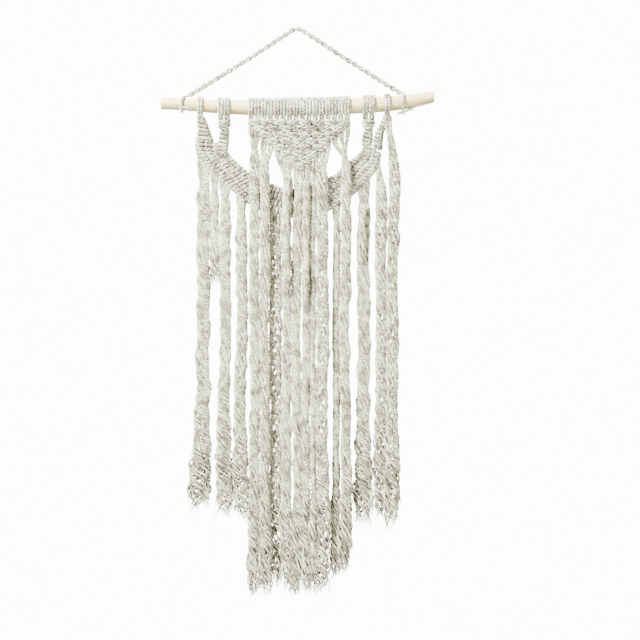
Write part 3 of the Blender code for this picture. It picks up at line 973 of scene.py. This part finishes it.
@dataclass
class SquareKnot:
    """One square knot: two cords tied round two others.

    Attributes:
        width: distance between the outer cords' ends.
        height: from where the cords enter to where they leave.
        depth: how far the tying cords stand in front and behind.
        cord: what it is tied with.
    """

    width: float = 11.6
    height: float = 7.95
    depth: float = 2.9
    cord: Cord = KNOTTING_CORD

    # A tying cord's way, in half widths, depths and half heights. It crosses in front, turns back
    # round the far side and returns behind; the other cord does the same from the other side.
    OVER = (
        (-0.78, 0.1, 1.25),
        (-0.98, -0.1, 0.95),
        (-0.9, -0.75, 0.62),
        (-0.5, -1.25, 0.42),
        (0.0, -1.4, 0.34),
        (0.5, -1.25, 0.36),
        (0.95, -0.7, 0.2),
        (1.15, 0.1, 0.05),
        (1.28, 0.75, -0.15),
        (0.75, 1.1, -0.3),
        (0.0, 1.05, -0.4),
        (-0.9, 1.0, -0.5),
        (-1.2, 0.5, -0.7),
        (-0.75, 0.0, -1.2),
    )
    UNDER = (
        (0.78, 0.1, 1.25),
        (0.98, 0.35, 0.95),
        (1.05, 0.9, 0.65),
        (0.0, 1.15, 0.5),
        (-0.95, 1.05, 0.35),
        (-1.22, 0.45, 0.1),
        (-1.0, -0.35, -0.15),
        (-0.6, -0.8, -0.4),
        (0.0, -0.95, -0.55),
        (0.6, -0.8, -0.62),
        (0.92, -0.35, -0.85),
        (0.75, 0.0, -1.2),
    )

    def tie(self, skein: Skein, centre: Vector, seed: int) -> None:
        """Lays the knot's four cords.

        Args:
            skein: the piece it belongs to.
            centre: the knot's middle.
            seed: makes each knot a little different.
        """
        draw = random.Random(seed)
        for way in (self.OVER, self.UNDER):
            line = []
            for i, (across, out, up) in enumerate(way):
                loose = 0.0 if i in (0, len(way) - 1) else 0.35
                jog = Vector([draw.uniform(-loose, loose) for _ in range(3)])
                line.append(centre + self._place(across, out, up) + jog)
            skein.cord(Route(smooth_line(line, 6), self.cord.step), self.cord, draw.uniform(0, 6))
        for side in (-1, 1):
            line = [self._place(side / 3, 0.0, up) + centre for up in (1.0, 0.4, -0.4, -1.0)]
            skein.cord(Route(smooth_line(line, 4), self.cord.step), self.cord, draw.uniform(0, 6))

    def _place(self, across: float, out: float, up: float) -> Vector:
        """A point of the knot from its shares of the sizes."""
        return Vector((across * self.width / 2, out * self.depth, up * self.height / 2))


@dataclass
class Triangle:
    """Rows of alternating square knots, one knot fewer in each row.

    Attributes:
        frame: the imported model.
        cotton: the cords' material.
        rows: how many rows.
        knot: the knot that fills them.
    """

    frame: Frame
    cotton: bpy.types.Material
    rows: int = 8
    knot: SquareKnot = field(default_factory=SquareKnot)

    def build(self) -> None:
        """Makes one piece for each row."""
        for row in range(self.rows):
            node = f"knot_row_{row + 1}"
            low, high = self.frame.box(node)
            count = self.rows - row
            pitch = (high.x - low.x) / count
            skein = Skein(node + "_cords")
            for i in range(count):
                centre = Vector((low.x + (i + 0.5) * pitch, (low.y + high.y) / 2, (low.z + high.z) / 2))
                self.knot.tie(skein, centre, row * 20 + i)
            skein.stand_in(node, "triangle", self.cotton, "knotted_cotton")


# ---- the band ----


@dataclass
class Coil:
    """Cord wrapped in close turns round a core, as clove hitches lie along their cord.

    Attributes:
        pitch: distance from one turn to the next.
        tilt: how far a turn's front leans along the core.
        uneven: how much the turns vary, in millimetres.
    """

    pitch: float = 5.2
    tilt: float = 3.4
    uneven: float = 0.9

    def wrap(
        self,
        skein: Skein,
        line: list[Vector],
        across: Callable[[float], Vector],
        depth: float,
        seed: int,
        twist: Twist = Twist.Z,
    ) -> None:
        """Winds a cord along a line.

        Args:
            skein: the piece it belongs to.
            line: the core's middle line.
            across: gives the half-width vector of the row at a share of its length.
            depth: half thickness of the row.
            seed: makes each row a little different.
            twist: which way it winds.
        """
        middle_line = Route(line, 1.0)
        turns = middle_line.length / self.pitch
        per_turn = 14
        count = max(int(turns * per_turn), 8)
        points = []
        for k in range(count + 1):
            share = k / count
            angle = (share * turns + 0.5 * (seed % 2)) * math.tau
            lean = self.tilt * math.cos(angle) * 0.5 * twist.value
            run = min(max(share * middle_line.length + lean, 0.0), middle_line.length)
            i = min(int(run), len(middle_line.points) - 2)
            middle = middle_line.points[i].lerp(middle_line.points[i + 1], min(run - i, 1.0))
            side = across(share)
            swell = self.uneven * noise.noise(Vector((share * turns * 0.7, seed * 3.1, 0.0)))
            wide = side.normalized() * (side.length - 0.9 + swell)
            front = max(math.sin(angle), 0.0) ** 0.6
            deep = (depth - 0.9 + swell) * front if math.sin(angle) > 0 else 0.55 * depth * math.sin(angle)
            points.append(middle + wide * math.cos(angle) + Vector((0.0, -deep, 0.0)))
        skein.cord(Route(smooth_line(points, 2), WRAP_CORD.step), WRAP_CORD, seed)
        for side in (0.0, 1.0):
            shares = [i / (len(line) - 1) for i in range(len(line))]
            core = [p + across(share) * side + Vector((0, 1.6 * side, 0)) for p, share in zip(line, shares)]
            skein.cord(Route(core, WRAP_CORD.step), WRAP_CORD, seed)


class BandLayout:
    """Where the band's edges run: shares of the way to the outer hitch, and drops from the triangle's top."""

    LEFT_TOP = (
        (-0.735, 33), (-0.71, 42), (-0.65, 51), (-0.57, 60), (-0.49, 68), (-0.37, 75), (-0.21, 84), (0, 89),
    )
    LEFT_LOW = (
        (-1.035, 20), (-1.04, 38), (-0.965, 53), (-0.845, 67),
        (-0.71, 84), (-0.55, 102), (-0.29, 118), (0, 124),
    )
    RIGHT_TOP = ((0.725, 31), (0.708, 39), (0.602, 49), (0.47, 62.5), (0.336, 74), (0.177, 84), (0, 89))
    RIGHT_LOW = ((0.92, 41), (0.894, 58), (0.779, 74.5), (0.62, 93), (0.425, 109), (0.204, 119.5), (0, 124))

    def __init__(self, frame: Frame) -> None:
        """Reads the places that the shares are measured from.

        Args:
            frame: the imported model.
        """
        low, high = frame.box("knot_row_1")
        self.centre = (low.x + high.x) / 2
        self.top = high.z
        left = frame.box("hitch_left_outer")
        right = frame.box("hitch_right_outer")
        self.reach = {
            -1: self.centre - (left[0].x + left[1].x) / 2,
            1: (right[0].x + right[1].x) / 2 - self.centre,
        }
        box = frame.box("band_left_row_1")
        self.y = (box[0].y + box[1].y) / 2
        self.depth = (box[1].y - box[0].y) / 2 / OCTAGON

    def edge(self, points: tuple[tuple[float, float], ...], side: int) -> list[Vector]:
        """One edge of the band as a smooth line.

        Args:
            points: its shares and drops.
            side: -1 for the left half, 1 for the right.

        Returns:
            The edge's points in space.
        """
        places = [
            Vector((self._place(share, side), self.y, self.top - drop))
            for share, drop in points
        ]
        return smooth_line(places, 4)

    def _place(self, share: float, side: int) -> float:
        """The x at a share of one half, with a hair's gap between the halves at the middle."""
        return self.centre + share * self.reach[side] + side * 0.3 * (share == 0)

    def low_at(self, x: float) -> float:
        """Lowest height of the band's lower edge at x."""
        line = self.edge(self.LEFT_LOW, -1) + self.edge(self.RIGHT_LOW, 1)[::-1]
        heights = [
            a.z + (x - a.x) / (b.x - a.x) * (b.z - a.z)
            for a, b in zip(line, line[1:])
            if min(a.x, b.x) <= x <= max(a.x, b.x) and a.x != b.x
        ]
        return min(heights)


@dataclass
class Band:
    """The U-shaped band of clove-hitch rows, and the knots and columns that carry it.

    Attributes:
        frame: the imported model.
        cotton: the cords' material.
        layout: where its edges run.
        rows: rows of hitches side by side.
    """

    frame: Frame
    cotton: bpy.types.Material
    layout: BandLayout
    rows: int = 4
    coil: Coil = field(default_factory=Coil)

    def build(self) -> None:
        """Makes the rows of both halves, then the side knots and columns."""
        for word, side, top_points, low_points in (
            ("left", -1, self.layout.LEFT_TOP, self.layout.LEFT_LOW),
            ("right", 1, self.layout.RIGHT_TOP, self.layout.RIGHT_LOW),
        ):
            top = self.layout.edge(top_points, side)
            low = self.layout.edge(low_points, side)
            for row in range(self.rows):
                self._row(f"band_{word}_row_{row + 1}", top, low, row, side)
        for word in ("left", "right"):
            self._side_knot(word)
        left = self.layout.edge(self.layout.LEFT_TOP, -1)[0]
        right = self.layout.edge(self.layout.RIGHT_TOP, 1)[0]
        left_low = self.layout.edge(self.layout.LEFT_LOW, -1)[0]
        right_low = self.layout.edge(self.layout.RIGHT_LOW, 1)[0]
        bend = Vector((right_low.x - 1, self.layout.y - 1, right_low.z + 26))
        # each column: the places it passes on its way to the band, and its half widths down its length
        columns = {
            "inner_sinnet_left": (
                (left + Vector((-5, -2, 3)), left + Vector((-8, -6, -11))),
                (4.2, 5.6, 6.6, 6.4),
            ),
            "inner_sinnet_right": (
                (right + Vector((4, -2, 3)), right + Vector((4, -4, -3))),
                (3.6, 6.0, 6.2, 4.6),
            ),
            "outer_sinnet_left": (
                (left_low.lerp(left, 0.28) + Vector((0, -1.5, -2.5)),),
                (3.4, 5.4, 7.6, 9.4),
            ),
            "outer_sinnet_right": (
                (bend, right_low.lerp(right, 0.2) + Vector((0, -1, 2))),
                (2.6, 4.2, 5.2, 5.4),
            ),
        }
        for node, (places, halves) in columns.items():
            self._column(node, places, halves)

    def _row(self, node: str, top: list[Vector], low: list[Vector], row: int, side: int) -> None:
        """One row of hitches.

        Args:
            node: the CAD node it stands for.
            top: the band's upper edge.
            low: its lower edge.
            row: which row, from the upper edge.
            side: -1 for the left half, 1 for the right.
        """
        line = [a.lerp(b, (row + 0.5) / self.rows) for a, b in zip(top, low)]
        halves = [(b - a) / self.rows / 2 for a, b in zip(top, low)]

        def across(share: float) -> Vector:
            """Half the row's width at a share of its length."""
            place = share * (len(halves) - 1)
            i = min(int(place), len(halves) - 2)
            return halves[i].lerp(halves[i + 1], place - i)

        skein = Skein(node + "_hitches")
        twist = Twist.Z if side < 0 else Twist.S
        self.coil.wrap(skein, line, across, self.layout.depth, row + 10 * side, twist)
        skein.stand_in(node, "band", self.cotton, "knotted_cotton")

    def _side_knot(self, word: str) -> None:
        """The full, smooth knot under an inner hitch.

        Args:
            word: left or right.
        """
        node = f"side_knot_{word}"
        low, high = self.frame.box(node)
        middle = (low + high) / 2
        knot = SquareKnot(high.x - low.x - 3.6, 0.85 * (high.z - low.z), 3.4, SIDE_CORD)
        skein = Skein(node + "_cords")
        knot.tie(skein, middle, 7 if word == "left" else 8)
        skein.stand_in(node, "band", self.cotton, "knotted_cotton")

    def _column(self, node: str, places: tuple[Vector, ...], halves: tuple[float, ...]) -> None:
        """A short column of hitches, hanging from a side hitch.

        Args:
            node: the CAD node it stands for.
            places: where its middle line goes below its top.
            halves: its half width at even steps, from its top.
        """
        high = self.frame.box(node)[1]
        crown = [v.co / MM for v in self.frame.nodes[node].data.vertices if v.co.z / MM > high.z - 1.5]
        top = sum(crown, Vector()) / len(crown)
        table = [(i / (len(halves) - 1), half) for i, half in enumerate(halves)]

        def across(share: float) -> Vector:
            """Half the column's width at a share of its length."""
            return Vector((smooth_value(table, share)[0], 0.0, 0.0))

        skein = Skein(node + "_hitches")
        line = smooth_line([Vector((top.x, top.y, high.z)), *places], 8)
        self.coil.wrap(skein, line, across, 4.6, 2 * len(node))
        skein.stand_in(node, "band", self.cotton, "knotted_cotton")


# ---- the fringe ----


@dataclass
class Bundle:
    """A hanging bundle of cords whose ends have come unravelled.

    Attributes:
        node: the CAD node it stands for.
        body: the body it moves with.
        sources: where its cords leave the knots above.
        opening: height at which the cords start to unravel.
        turn_mm: length over which the bundle turns once.
        spread: how far its opened plies part, against a long bundle's.
    """

    node: str
    body: str
    sources: list[Vector]
    opening: float
    turn_mm: float = 80.0
    spread: float = 1.0

    # below its source a cord takes this long to find its place in the bundle
    GATHER = 42.0
    LINE_STEP = 9.0
    # a cord opens over this height, and its end thins over this length
    OPEN_OVER = 110.0
    TAPER_OVER = 26.0
    # one loose fibre for each stretch of cord this long
    FIBRE_EVERY = 14.0
    # the middle line has a point every so often, and stops this far above the middle cord's end
    PATH_STEP = 12.0
    PATH_STOPS = 3.5
    OFF_SHARE = 0.65
    OFF_MORE = 1.5
    NEAR_SHARE = 0.38
    LEAST_WIDTH = 12.0
    LEAST_DIAMETERS = 6.1

    def build(self, frame: Frame, cotton: bpy.types.Material) -> None:
        """Lays the bundle's cords.

        Args:
            frame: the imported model.
            cotton: their material.
        """
        slices = Slices(frame.nodes[self.node], 2)
        low, high = frame.box(self.node)
        draw = random.Random(self.node)
        skein = Skein(self.node + "_cords")
        count = len(self.sources)
        order = sorted(range(count), key=lambda k: self.sources[k].x)
        routes = []
        for rank, k in enumerate(order):
            angle = math.pi * (1 - (rank + 0.5) / count) * (1 if rank % 2 else -1)
            end = low.z + draw.uniform(-4.0, 9.0) * self.spread
            line = self._strand_line(slices, high.z, self.sources[k], angle, end, draw)
            routes.append(Route(smooth_line(line, 5), FRINGE_CORD.step))
            self._unravelling(skein, routes[-1], draw)
        self._fuzz(skein, routes, draw)
        piece = skein.piece(cotton, "fringe_cotton")
        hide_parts(self.node)
        self._declare(piece, routes, skein.laid)

    def _strand_line(
        self,
        slices: Slices,
        top: float,
        source: Vector,
        angle: float,
        end: float,
        draw: random.Random,
    ) -> list[Vector]:
        """The middle line of one cord of the bundle.

        Args:
            slices: the CAD bundle's stations.
            top: height of its top.
            source: where the cord leaves the knots.
            angle: the cord's place in the bundle's section.
            end: height of its end.
            draw: the bundle's random numbers.

        Returns:
            The line's points.
        """
        line = [source.copy()]
        reach = self.GATHER
        seed = draw.uniform(0, 100)
        radius = FRINGE_CORD.width / 2
        z = min(source.z, top) - 8.0
        inner = draw.uniform(0.75, 1.1)
        sway = 3.0 * self.spread
        while z > end:
            middle, half = slices.at(min(z, top - reach))
            uneven = 1.1 * noise.noise(Vector((z / 70, self.turn_mm, 0)))
            turn = angle + math.tau * (top - z) / self.turn_mm + uneven
            loose = 1 + 0.45 * self.spread * ease((self.opening - z) / 120)
            fuller = 1.6 * self.spread**2
            wide = max(half.x / OCTAGON - radius + fuller, 1.2) * inner * loose
            deep = max(half.y / OCTAGON - radius + 0.6, 1.2) * inner * loose
            drift = 2.0 * noise.noise(Vector((z / 40, seed, 0)))
            drift = drift + sway * noise.noise(Vector((z / 110, self.turn_mm, 5)))
            place = Vector((middle.x + wide * math.cos(turn) + drift, middle.y + deep * math.sin(turn), z))
            share = ease((source.z - z) / reach)
            start = Vector((source.x, source.y, z))
            line.append(start.lerp(place, share))
            z -= self.LINE_STEP
        line.append(Vector((line[-1].x + draw.uniform(-2, 2), line[-1].y, end)))
        return line

    def _unravelling(self, skein: Skein, route: Route, draw: random.Random) -> None:
        """Lays a cord's plies, which part and crinkle below the opening height.

        Args:
            skein: the piece they belong to.
            route: the cord's way.
            draw: the bundle's random numbers.
        """
        cord = FRINGE_CORD
        opening = self.opening + draw.uniform(-45, 45)
        phase = draw.uniform(0, math.tau)
        for k in range(cord.plies):
            seed = draw.uniform(0, 200)
            cut = draw.uniform(0, 9) * self.spread
            swell = draw.uniform(0.85, 1.2)
            points, radii = [], []
            angle = phase + k * math.tau / cord.plies
            last = 0.0
            for i, length in enumerate(route.lengths):
                if length > route.length - cut:
                    break
                loose = ease((opening - route.points[i].z) / self.OPEN_OVER)
                angle += math.tau * (length - last) / (cord.lay * (1 + 2.0 * loose)) * cord.twist.value
                last = length
                slow = self._wander(length / 38, seed) * (0.4 + 2.9 * loose)
                crimp = self._wander(length / 12, seed + 50) * (0.25 + 0.7 * loose)
                radius = cord.helix_radius * (1 + 0.35 * loose)
                points.append(route.beside_it(i, angle, radius) + (slow + crimp) * self.spread)
                taper = ease((route.length - cut - length) / self.TAPER_OVER)
                radii.append(cord.ply_radius * (1 + (swell * 1.15 - 1) * loose) * (0.22 + 0.78 * taper))
            skein.ply(points, route.points[: len(points)], radii)

    def _fuzz(self, skein: Skein, routes: list[Route], draw: random.Random) -> None:
        """Adds loose fibres that stand off the cords, more of them and longer where these have opened.

        Args:
            skein: the piece they belong to.
            routes: where the bundle's cords run.
            draw: the bundle's random numbers.
        """
        for route in routes:
            for _ in range(round(route.length / self.FIBRE_EVERY * self.spread)):
                i = round(len(route.points) * draw.uniform(0.05, 0.985)) - 1
                loose = ease((self.opening + 20 - route.points[i].z) / self.OPEN_OVER)
                turn, lift = draw.uniform(0, math.tau), draw.uniform(0.5, 1.0)
                start = route.beside_it(i, turn, FRINGE_CORD.width * 0.38)
                long = draw.uniform(5, 9) + draw.uniform(2, 14) * loose
                long = min(long, max(start.z - route.points[-1].z, 2.0))
                reach = FRINGE_CORD.width * 0.5 + lift * (1.1 + 1.9 * loose) * self.spread
                middle = route.beside_it(i, turn + draw.uniform(-0.5, 0.5), reach)
                end = route.beside_it(i, turn + draw.uniform(-1.0, 1.0), reach * draw.uniform(0.6, 1.15))
                points = [start, middle - Vector((0, 0, long * 0.45)), end - Vector((0, 0, long))]
                line = smooth_line(points, 3)
                size = draw.uniform(0.22, 0.36) * (1 + 0.7 * loose)
                radii = [size * (1 - 0.6 * k / (len(line) - 1)) for k in range(len(line))]
                skein.ply(line, [start] * len(line), radii)

    @staticmethod
    def _wander(at: float, seed: float) -> Vector:
        """A smooth sideways offset, at most about 1 each way."""
        return Vector((noise.noise(Vector((at, seed, 0.0))), noise.noise(Vector((at, 0.0, seed))), 0.0)) * 1.3

    def _centre_line(self, routes: list[Route]) -> list[Vector]:
        """The middle of the bundle's cords, from the highest start down to just above the middle end."""
        top = max(route.points[0].z for route in routes)
        ends = sorted(route.points[-1].z for route in routes)
        bottom = ends[len(ends) // 2] + self.PATH_STOPS
        count = round((top - bottom) / self.PATH_STEP)
        line = []
        for i in range(count + 1):
            z = top - (top - bottom) * i / count
            here = [min(route.points, key=lambda p, z=z: abs(p.z - z)) for route in routes]
            here = [point for point in here if abs(point.z - z) < 4.0]
            middle = sum(here, Vector()) / len(here)
            line.append(Vector((middle.x, middle.y, z)))
        return line

    def _declare(
        self, piece: bpy.types.Object, routes: list[Route], laid: list[Vector]
    ) -> None:
        """Bakes the bundle's piece in place, or hangs it on its body, and works out its length and width,
        which are not kept.

        Args:
            piece: the bundle's mesh.
            routes: where its cords run.
            laid: points of its plies.
        """
        path = self._centre_line(routes)
        if self.body == self.node:
            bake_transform(piece)
        else:
            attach(piece, self.body)
        length = sum((b - a).length for a, b in zip(path, path[1:]))
        line = Route(path, 3.0)
        tree = KDTree(len(line.points))
        for i, point in enumerate(line.points):
            tree.insert(point, i)
        tree.balance()
        far = max(tree.find(point)[2] for point in laid) + FRINGE_CORD.ply_radius
        width = max(self.LEAST_WIDTH, (far - self.OFF_MORE) / self.OFF_SHARE)
        width = min(width, far / self.NEAR_SHARE, length / self.LEAST_DIAMETERS)


@dataclass
class Fringe:
    """All the bundles, fed by the knot rows and by the band.

    Attributes:
        frame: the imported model.
        cotton: the cords' material.
        layout: where the band's edges run.
    """

    frame: Frame
    cotton: bpy.types.Material
    layout: BandLayout

    # the fewest cords in a long bundle
    CORDS = 6
    # which side each front bundle hangs on, and the knot rows that feed it
    FRONT = {
        "bundle_front_1": (-1, (0, 1)),
        "bundle_front_2": (-1, (2, 3)),
        "bundle_front_3": (-1, (4, 5, 6)),
        "bundle_front_4": (0, (7,)),
        "bundle_front_5": (1, (6,)),
        "bundle_front_6": (1, (5,)),
        "bundle_front_7": (1, (3, 4)),
        "bundle_front_8": (1, (0, 1, 2)),
    }
    # how many cords each back bundle takes from the band's lowest row
    BACK = {
        "bundle_left_1": 8,
        "bundle_left_2": 7,
        "bundle_left_3": 6,
        "bundle_middle_left": 6,
        "bundle_middle_right": 5,
        "bundle_right_1": 8,
        "bundle_right_2": 6,
    }

    def build(self) -> None:
        """Makes every bundle and short tail."""
        for node, (side, rows) in self.FRONT.items():
            self._bundle(node, self._row_sources(side, rows))
        for node, count in self.BACK.items():
            self._bundle(node, self._band_sources(node, count))
        self._bundle("bundle_right_3", self._hitch_sources())
        self._bundle("short_tail_left", self._band_sources("short_tail_left", 4))
        for node, body in (
            ("short_tail_middle_left", "bundle_front_3"),
            ("short_tail_middle_right", "bundle_front_5"),
            ("short_tail_right", "bundle_right_1"),
        ):
            low, high = self.frame.box(node)
            y = (low.y + high.y) / 2
            middle = (low.x + high.x) / 2
            sources = [Vector((middle + 2.2 * (k - 1), y, high.z + 2)) for k in range(3)]
            Bundle(node, body, sources, low.z + 70, turn_mm=90.0, spread=0.3).build(self.frame, self.cotton)

    def _bundle(self, node: str, sources: list[Vector]) -> None:
        """One long bundle, hung on no other body.

        Args:
            node: its node and body.
            sources: where its cords start.
        """
        low = self.frame.box(node)[0]
        opening = low.z + (150.0 if "tail" not in node else 80.0)
        draw = random.Random(node + "_turn")
        while len(sources) < self.CORDS:
            first, second = draw.sample(sources, 2)
            sources = sources + [first.lerp(second, 0.5) + Vector((0.0, draw.uniform(0.8, 2.0), 0.0))]
        Bundle(node, node, sources, opening, draw.uniform(62, 105)).build(self.frame, self.cotton)

    def _row_sources(self, side: int, rows: tuple[int, ...]) -> list[Vector]:
        """Where the outer cords of some knot rows leave them.

        Args:
            side: -1 for the left ends of the rows, 1 for the right, 0 for all four cords of the last.
            rows: the rows' numbers.

        Returns:
            The points.
        """
        points = []
        for row in rows:
            low, high = self.frame.box(f"knot_row_{row + 1}")
            y = (low.y + high.y) / 2
            offsets = (2.05, 6.15)
            if side <= 0:
                points += [Vector((low.x + offset, y, low.z + 1.0)) for offset in offsets]
            if side >= 0:
                points += [Vector((high.x - offset, y, low.z + 1.0)) for offset in offsets]
        return points

    def _band_sources(self, node: str, count: int) -> list[Vector]:
        """Where a back bundle's cords leave the band's lowest row.

        Args:
            node: the bundle.
            count: how many cords it has.

        Returns:
            The points.
        """
        slices = Slices(self.frame.nodes[node], 2)
        middle, half = slices.at(self.frame.box(node)[1].z - 40.0)
        wide = half.x / OCTAGON
        points = []
        for k in range(count):
            x = middle.x + wide * (2 * (k + 0.5) / count - 1) * 0.95
            x = max(x, self.layout.centre - 1.03 * self.layout.reach[-1])
            x = min(x, self.layout.centre + 0.9 * self.layout.reach[1])
            points.append(Vector((x, self.layout.y - 0.5 + (k % 2), self.layout.low_at(x) + 3.0)))
        return points

    def _hitch_sources(self) -> list[Vector]:
        """Where the cords of the right drop leave its hitch."""
        low, high = self.frame.box("hitch_right_outer")
        top = self.frame.box("bundle_right_3")[1].z
        middle = (low.x + high.x) / 2
        return [Vector((middle + 3.4 * (k - 1.5) / 1.5, -3.0 - 0.8 * (k % 2), top + 1.0)) for k in range(4)]


# ---- the studio ----


@dataclass(frozen=True)
class Studio:
    """A pale floor, soft lights and the camera, straight in front of the hanging."""

    floor_z: float = -1.3
    target: tuple[float, float, float] = (0.0288, 0.0, -0.3718)
    view_width: float = 0.8205
    lens: float = 85.0
    sensor: float = 36.0

    # each light's place, side and power; the key is small, so that the knots throw crisp shadows
    LIGHTS = {
        "key": ((-1.0, -1.0, 0.9), 0.25, 320.0),
        "fill": ((1.3, -1.5, -0.2), 1.2, 42.0),
        "back": ((0.5, 1.5, 0.8), 0.8, 60.0),
    }

    def build(self) -> None:
        """Sets up the camera, the floor, the lights and the surroundings."""
        camera = bpy.data.objects.new("camera", bpy.data.cameras.new("camera"))
        camera.data.lens = self.lens
        camera.data.sensor_width = self.sensor
        distance = self.view_width * self.lens / self.sensor
        camera.location = Vector(self.target) - Vector((0.0, distance, 0.0))
        camera.rotation_euler = (math.pi / 2, 0.0, 0.0)
        bpy.context.scene.collection.objects.link(camera)
        bpy.context.scene.camera = camera
        self._floor()
        for name, (place, size, power) in self.LIGHTS.items():
            self._light(name, place, size, power)
        world = bpy.data.worlds.new("studio")
        bpy.context.scene.world = world
        world.use_nodes = True
        tree = world.node_tree
        sky = tree.nodes["Background"]
        sky.inputs["Color"].default_value = linear("#FBFBF6")
        # the backdrop is far brighter than the light that it sends back
        sight = add_node(tree, "ShaderNodeLightPath").outputs["Is Camera Ray"]
        glow = add_node(tree, "ShaderNodeMapRange", Value=sight, To_Min=0.2, To_Max=14.0)
        tree.links.new(glow.outputs[0], sky.inputs["Strength"])

    def _floor(self) -> None:
        """A wide pale floor under the hanging."""
        shape = bmesh.new()
        bmesh.ops.create_grid(shape, x_segments=4, y_segments=4, size=2.2)
        mesh = bpy.data.meshes.new("floor")
        shape.to_mesh(mesh)
        shape.free()
        material = bpy.data.materials.new("matt_pale_floor")
        material.use_nodes = True
        tree = material.node_tree
        place = add_node(tree, "ShaderNodeTexCoord").outputs["Object"]
        cloud = add_node(tree, "ShaderNodeTexNoise", Vector=place, Scale=3.0)
        tint = add_node(tree, "ShaderNodeMix", {"data_type": "RGBA"}, i0=cloud.outputs["Fac"])
        tint.inputs[6].default_value = linear("#EEECE8")
        tint.inputs[7].default_value = linear("#F4F2EE")
        shader = tree.nodes["Principled BSDF"]
        tree.links.new(tint.outputs[2], shader.inputs["Base Color"])
        shader.inputs["Roughness"].default_value = 0.9
        mesh.materials.append(material)
        floor = bpy.data.objects.new("floor", mesh)
        floor.location.z = self.floor_z
        bpy.context.scene.collection.objects.link(floor)
        floor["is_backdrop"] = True

    def _light(self, name: str, place: tuple[float, float, float], size: float, power: float) -> None:
        """A square soft light aimed at the hanging.

        Args:
            name: its name.
            place: where it stands.
            size: the length of its sides.
            power: its strength in watts.
        """
        data = bpy.data.lights.new(name, "AREA")
        data.size = size
        data.energy = power
        light = bpy.data.objects.new(name, data)
        light.location = place
        aim = Vector(self.target) - Vector(place)
        light.rotation_euler = aim.to_track_quat("-Z", "Y").to_euler()
        bpy.context.scene.collection.objects.link(light)


def main() -> None:
    """Builds the hanging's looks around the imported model."""
    logging.basicConfig(level=logging.INFO, format="%(name)s: %(message)s")
    for leftover in list(bpy.data.objects):
        bpy.data.objects.remove(leftover, do_unlink=True)
    frame = Frame()
    Studio().build()
    rope_cotton = CottonFinish("unbleached_cotton_rope", "#E2E4C4", "#69684C").material()
    cord_cotton = CottonFinish("unbleached_cotton_cord", "#E5E7C8", "#66654A").material()
    fringe_cotton = CottonFinish("unbleached_cotton_fringe", "#E0E2BC", "#636246", 0.5).material()
    wood = StickFinish(
        "peeled_willow",
        sapwood="#E9DC9C",
        grain="#C6AB68",
        under="#88723E",
        knot="#50371E",
        knots=((-104.0, -7.6, -101.5, 1.5), (-84.0, -8.2, -97.5, 1.1), (128.0, -8.0, -96.0, 1.2)),
    )
    Hanger(frame, rope_cotton).build()
    layout = BandLayout(frame)
    Fringe(frame, fringe_cotton, layout).build()
    Stick(frame, wood).build()
    Hitches(frame, cord_cotton).build()
    Triangle(frame, cord_cotton).build()
    Band(frame, cord_cotton, layout).build()


if __name__ == "__main__":
    main()
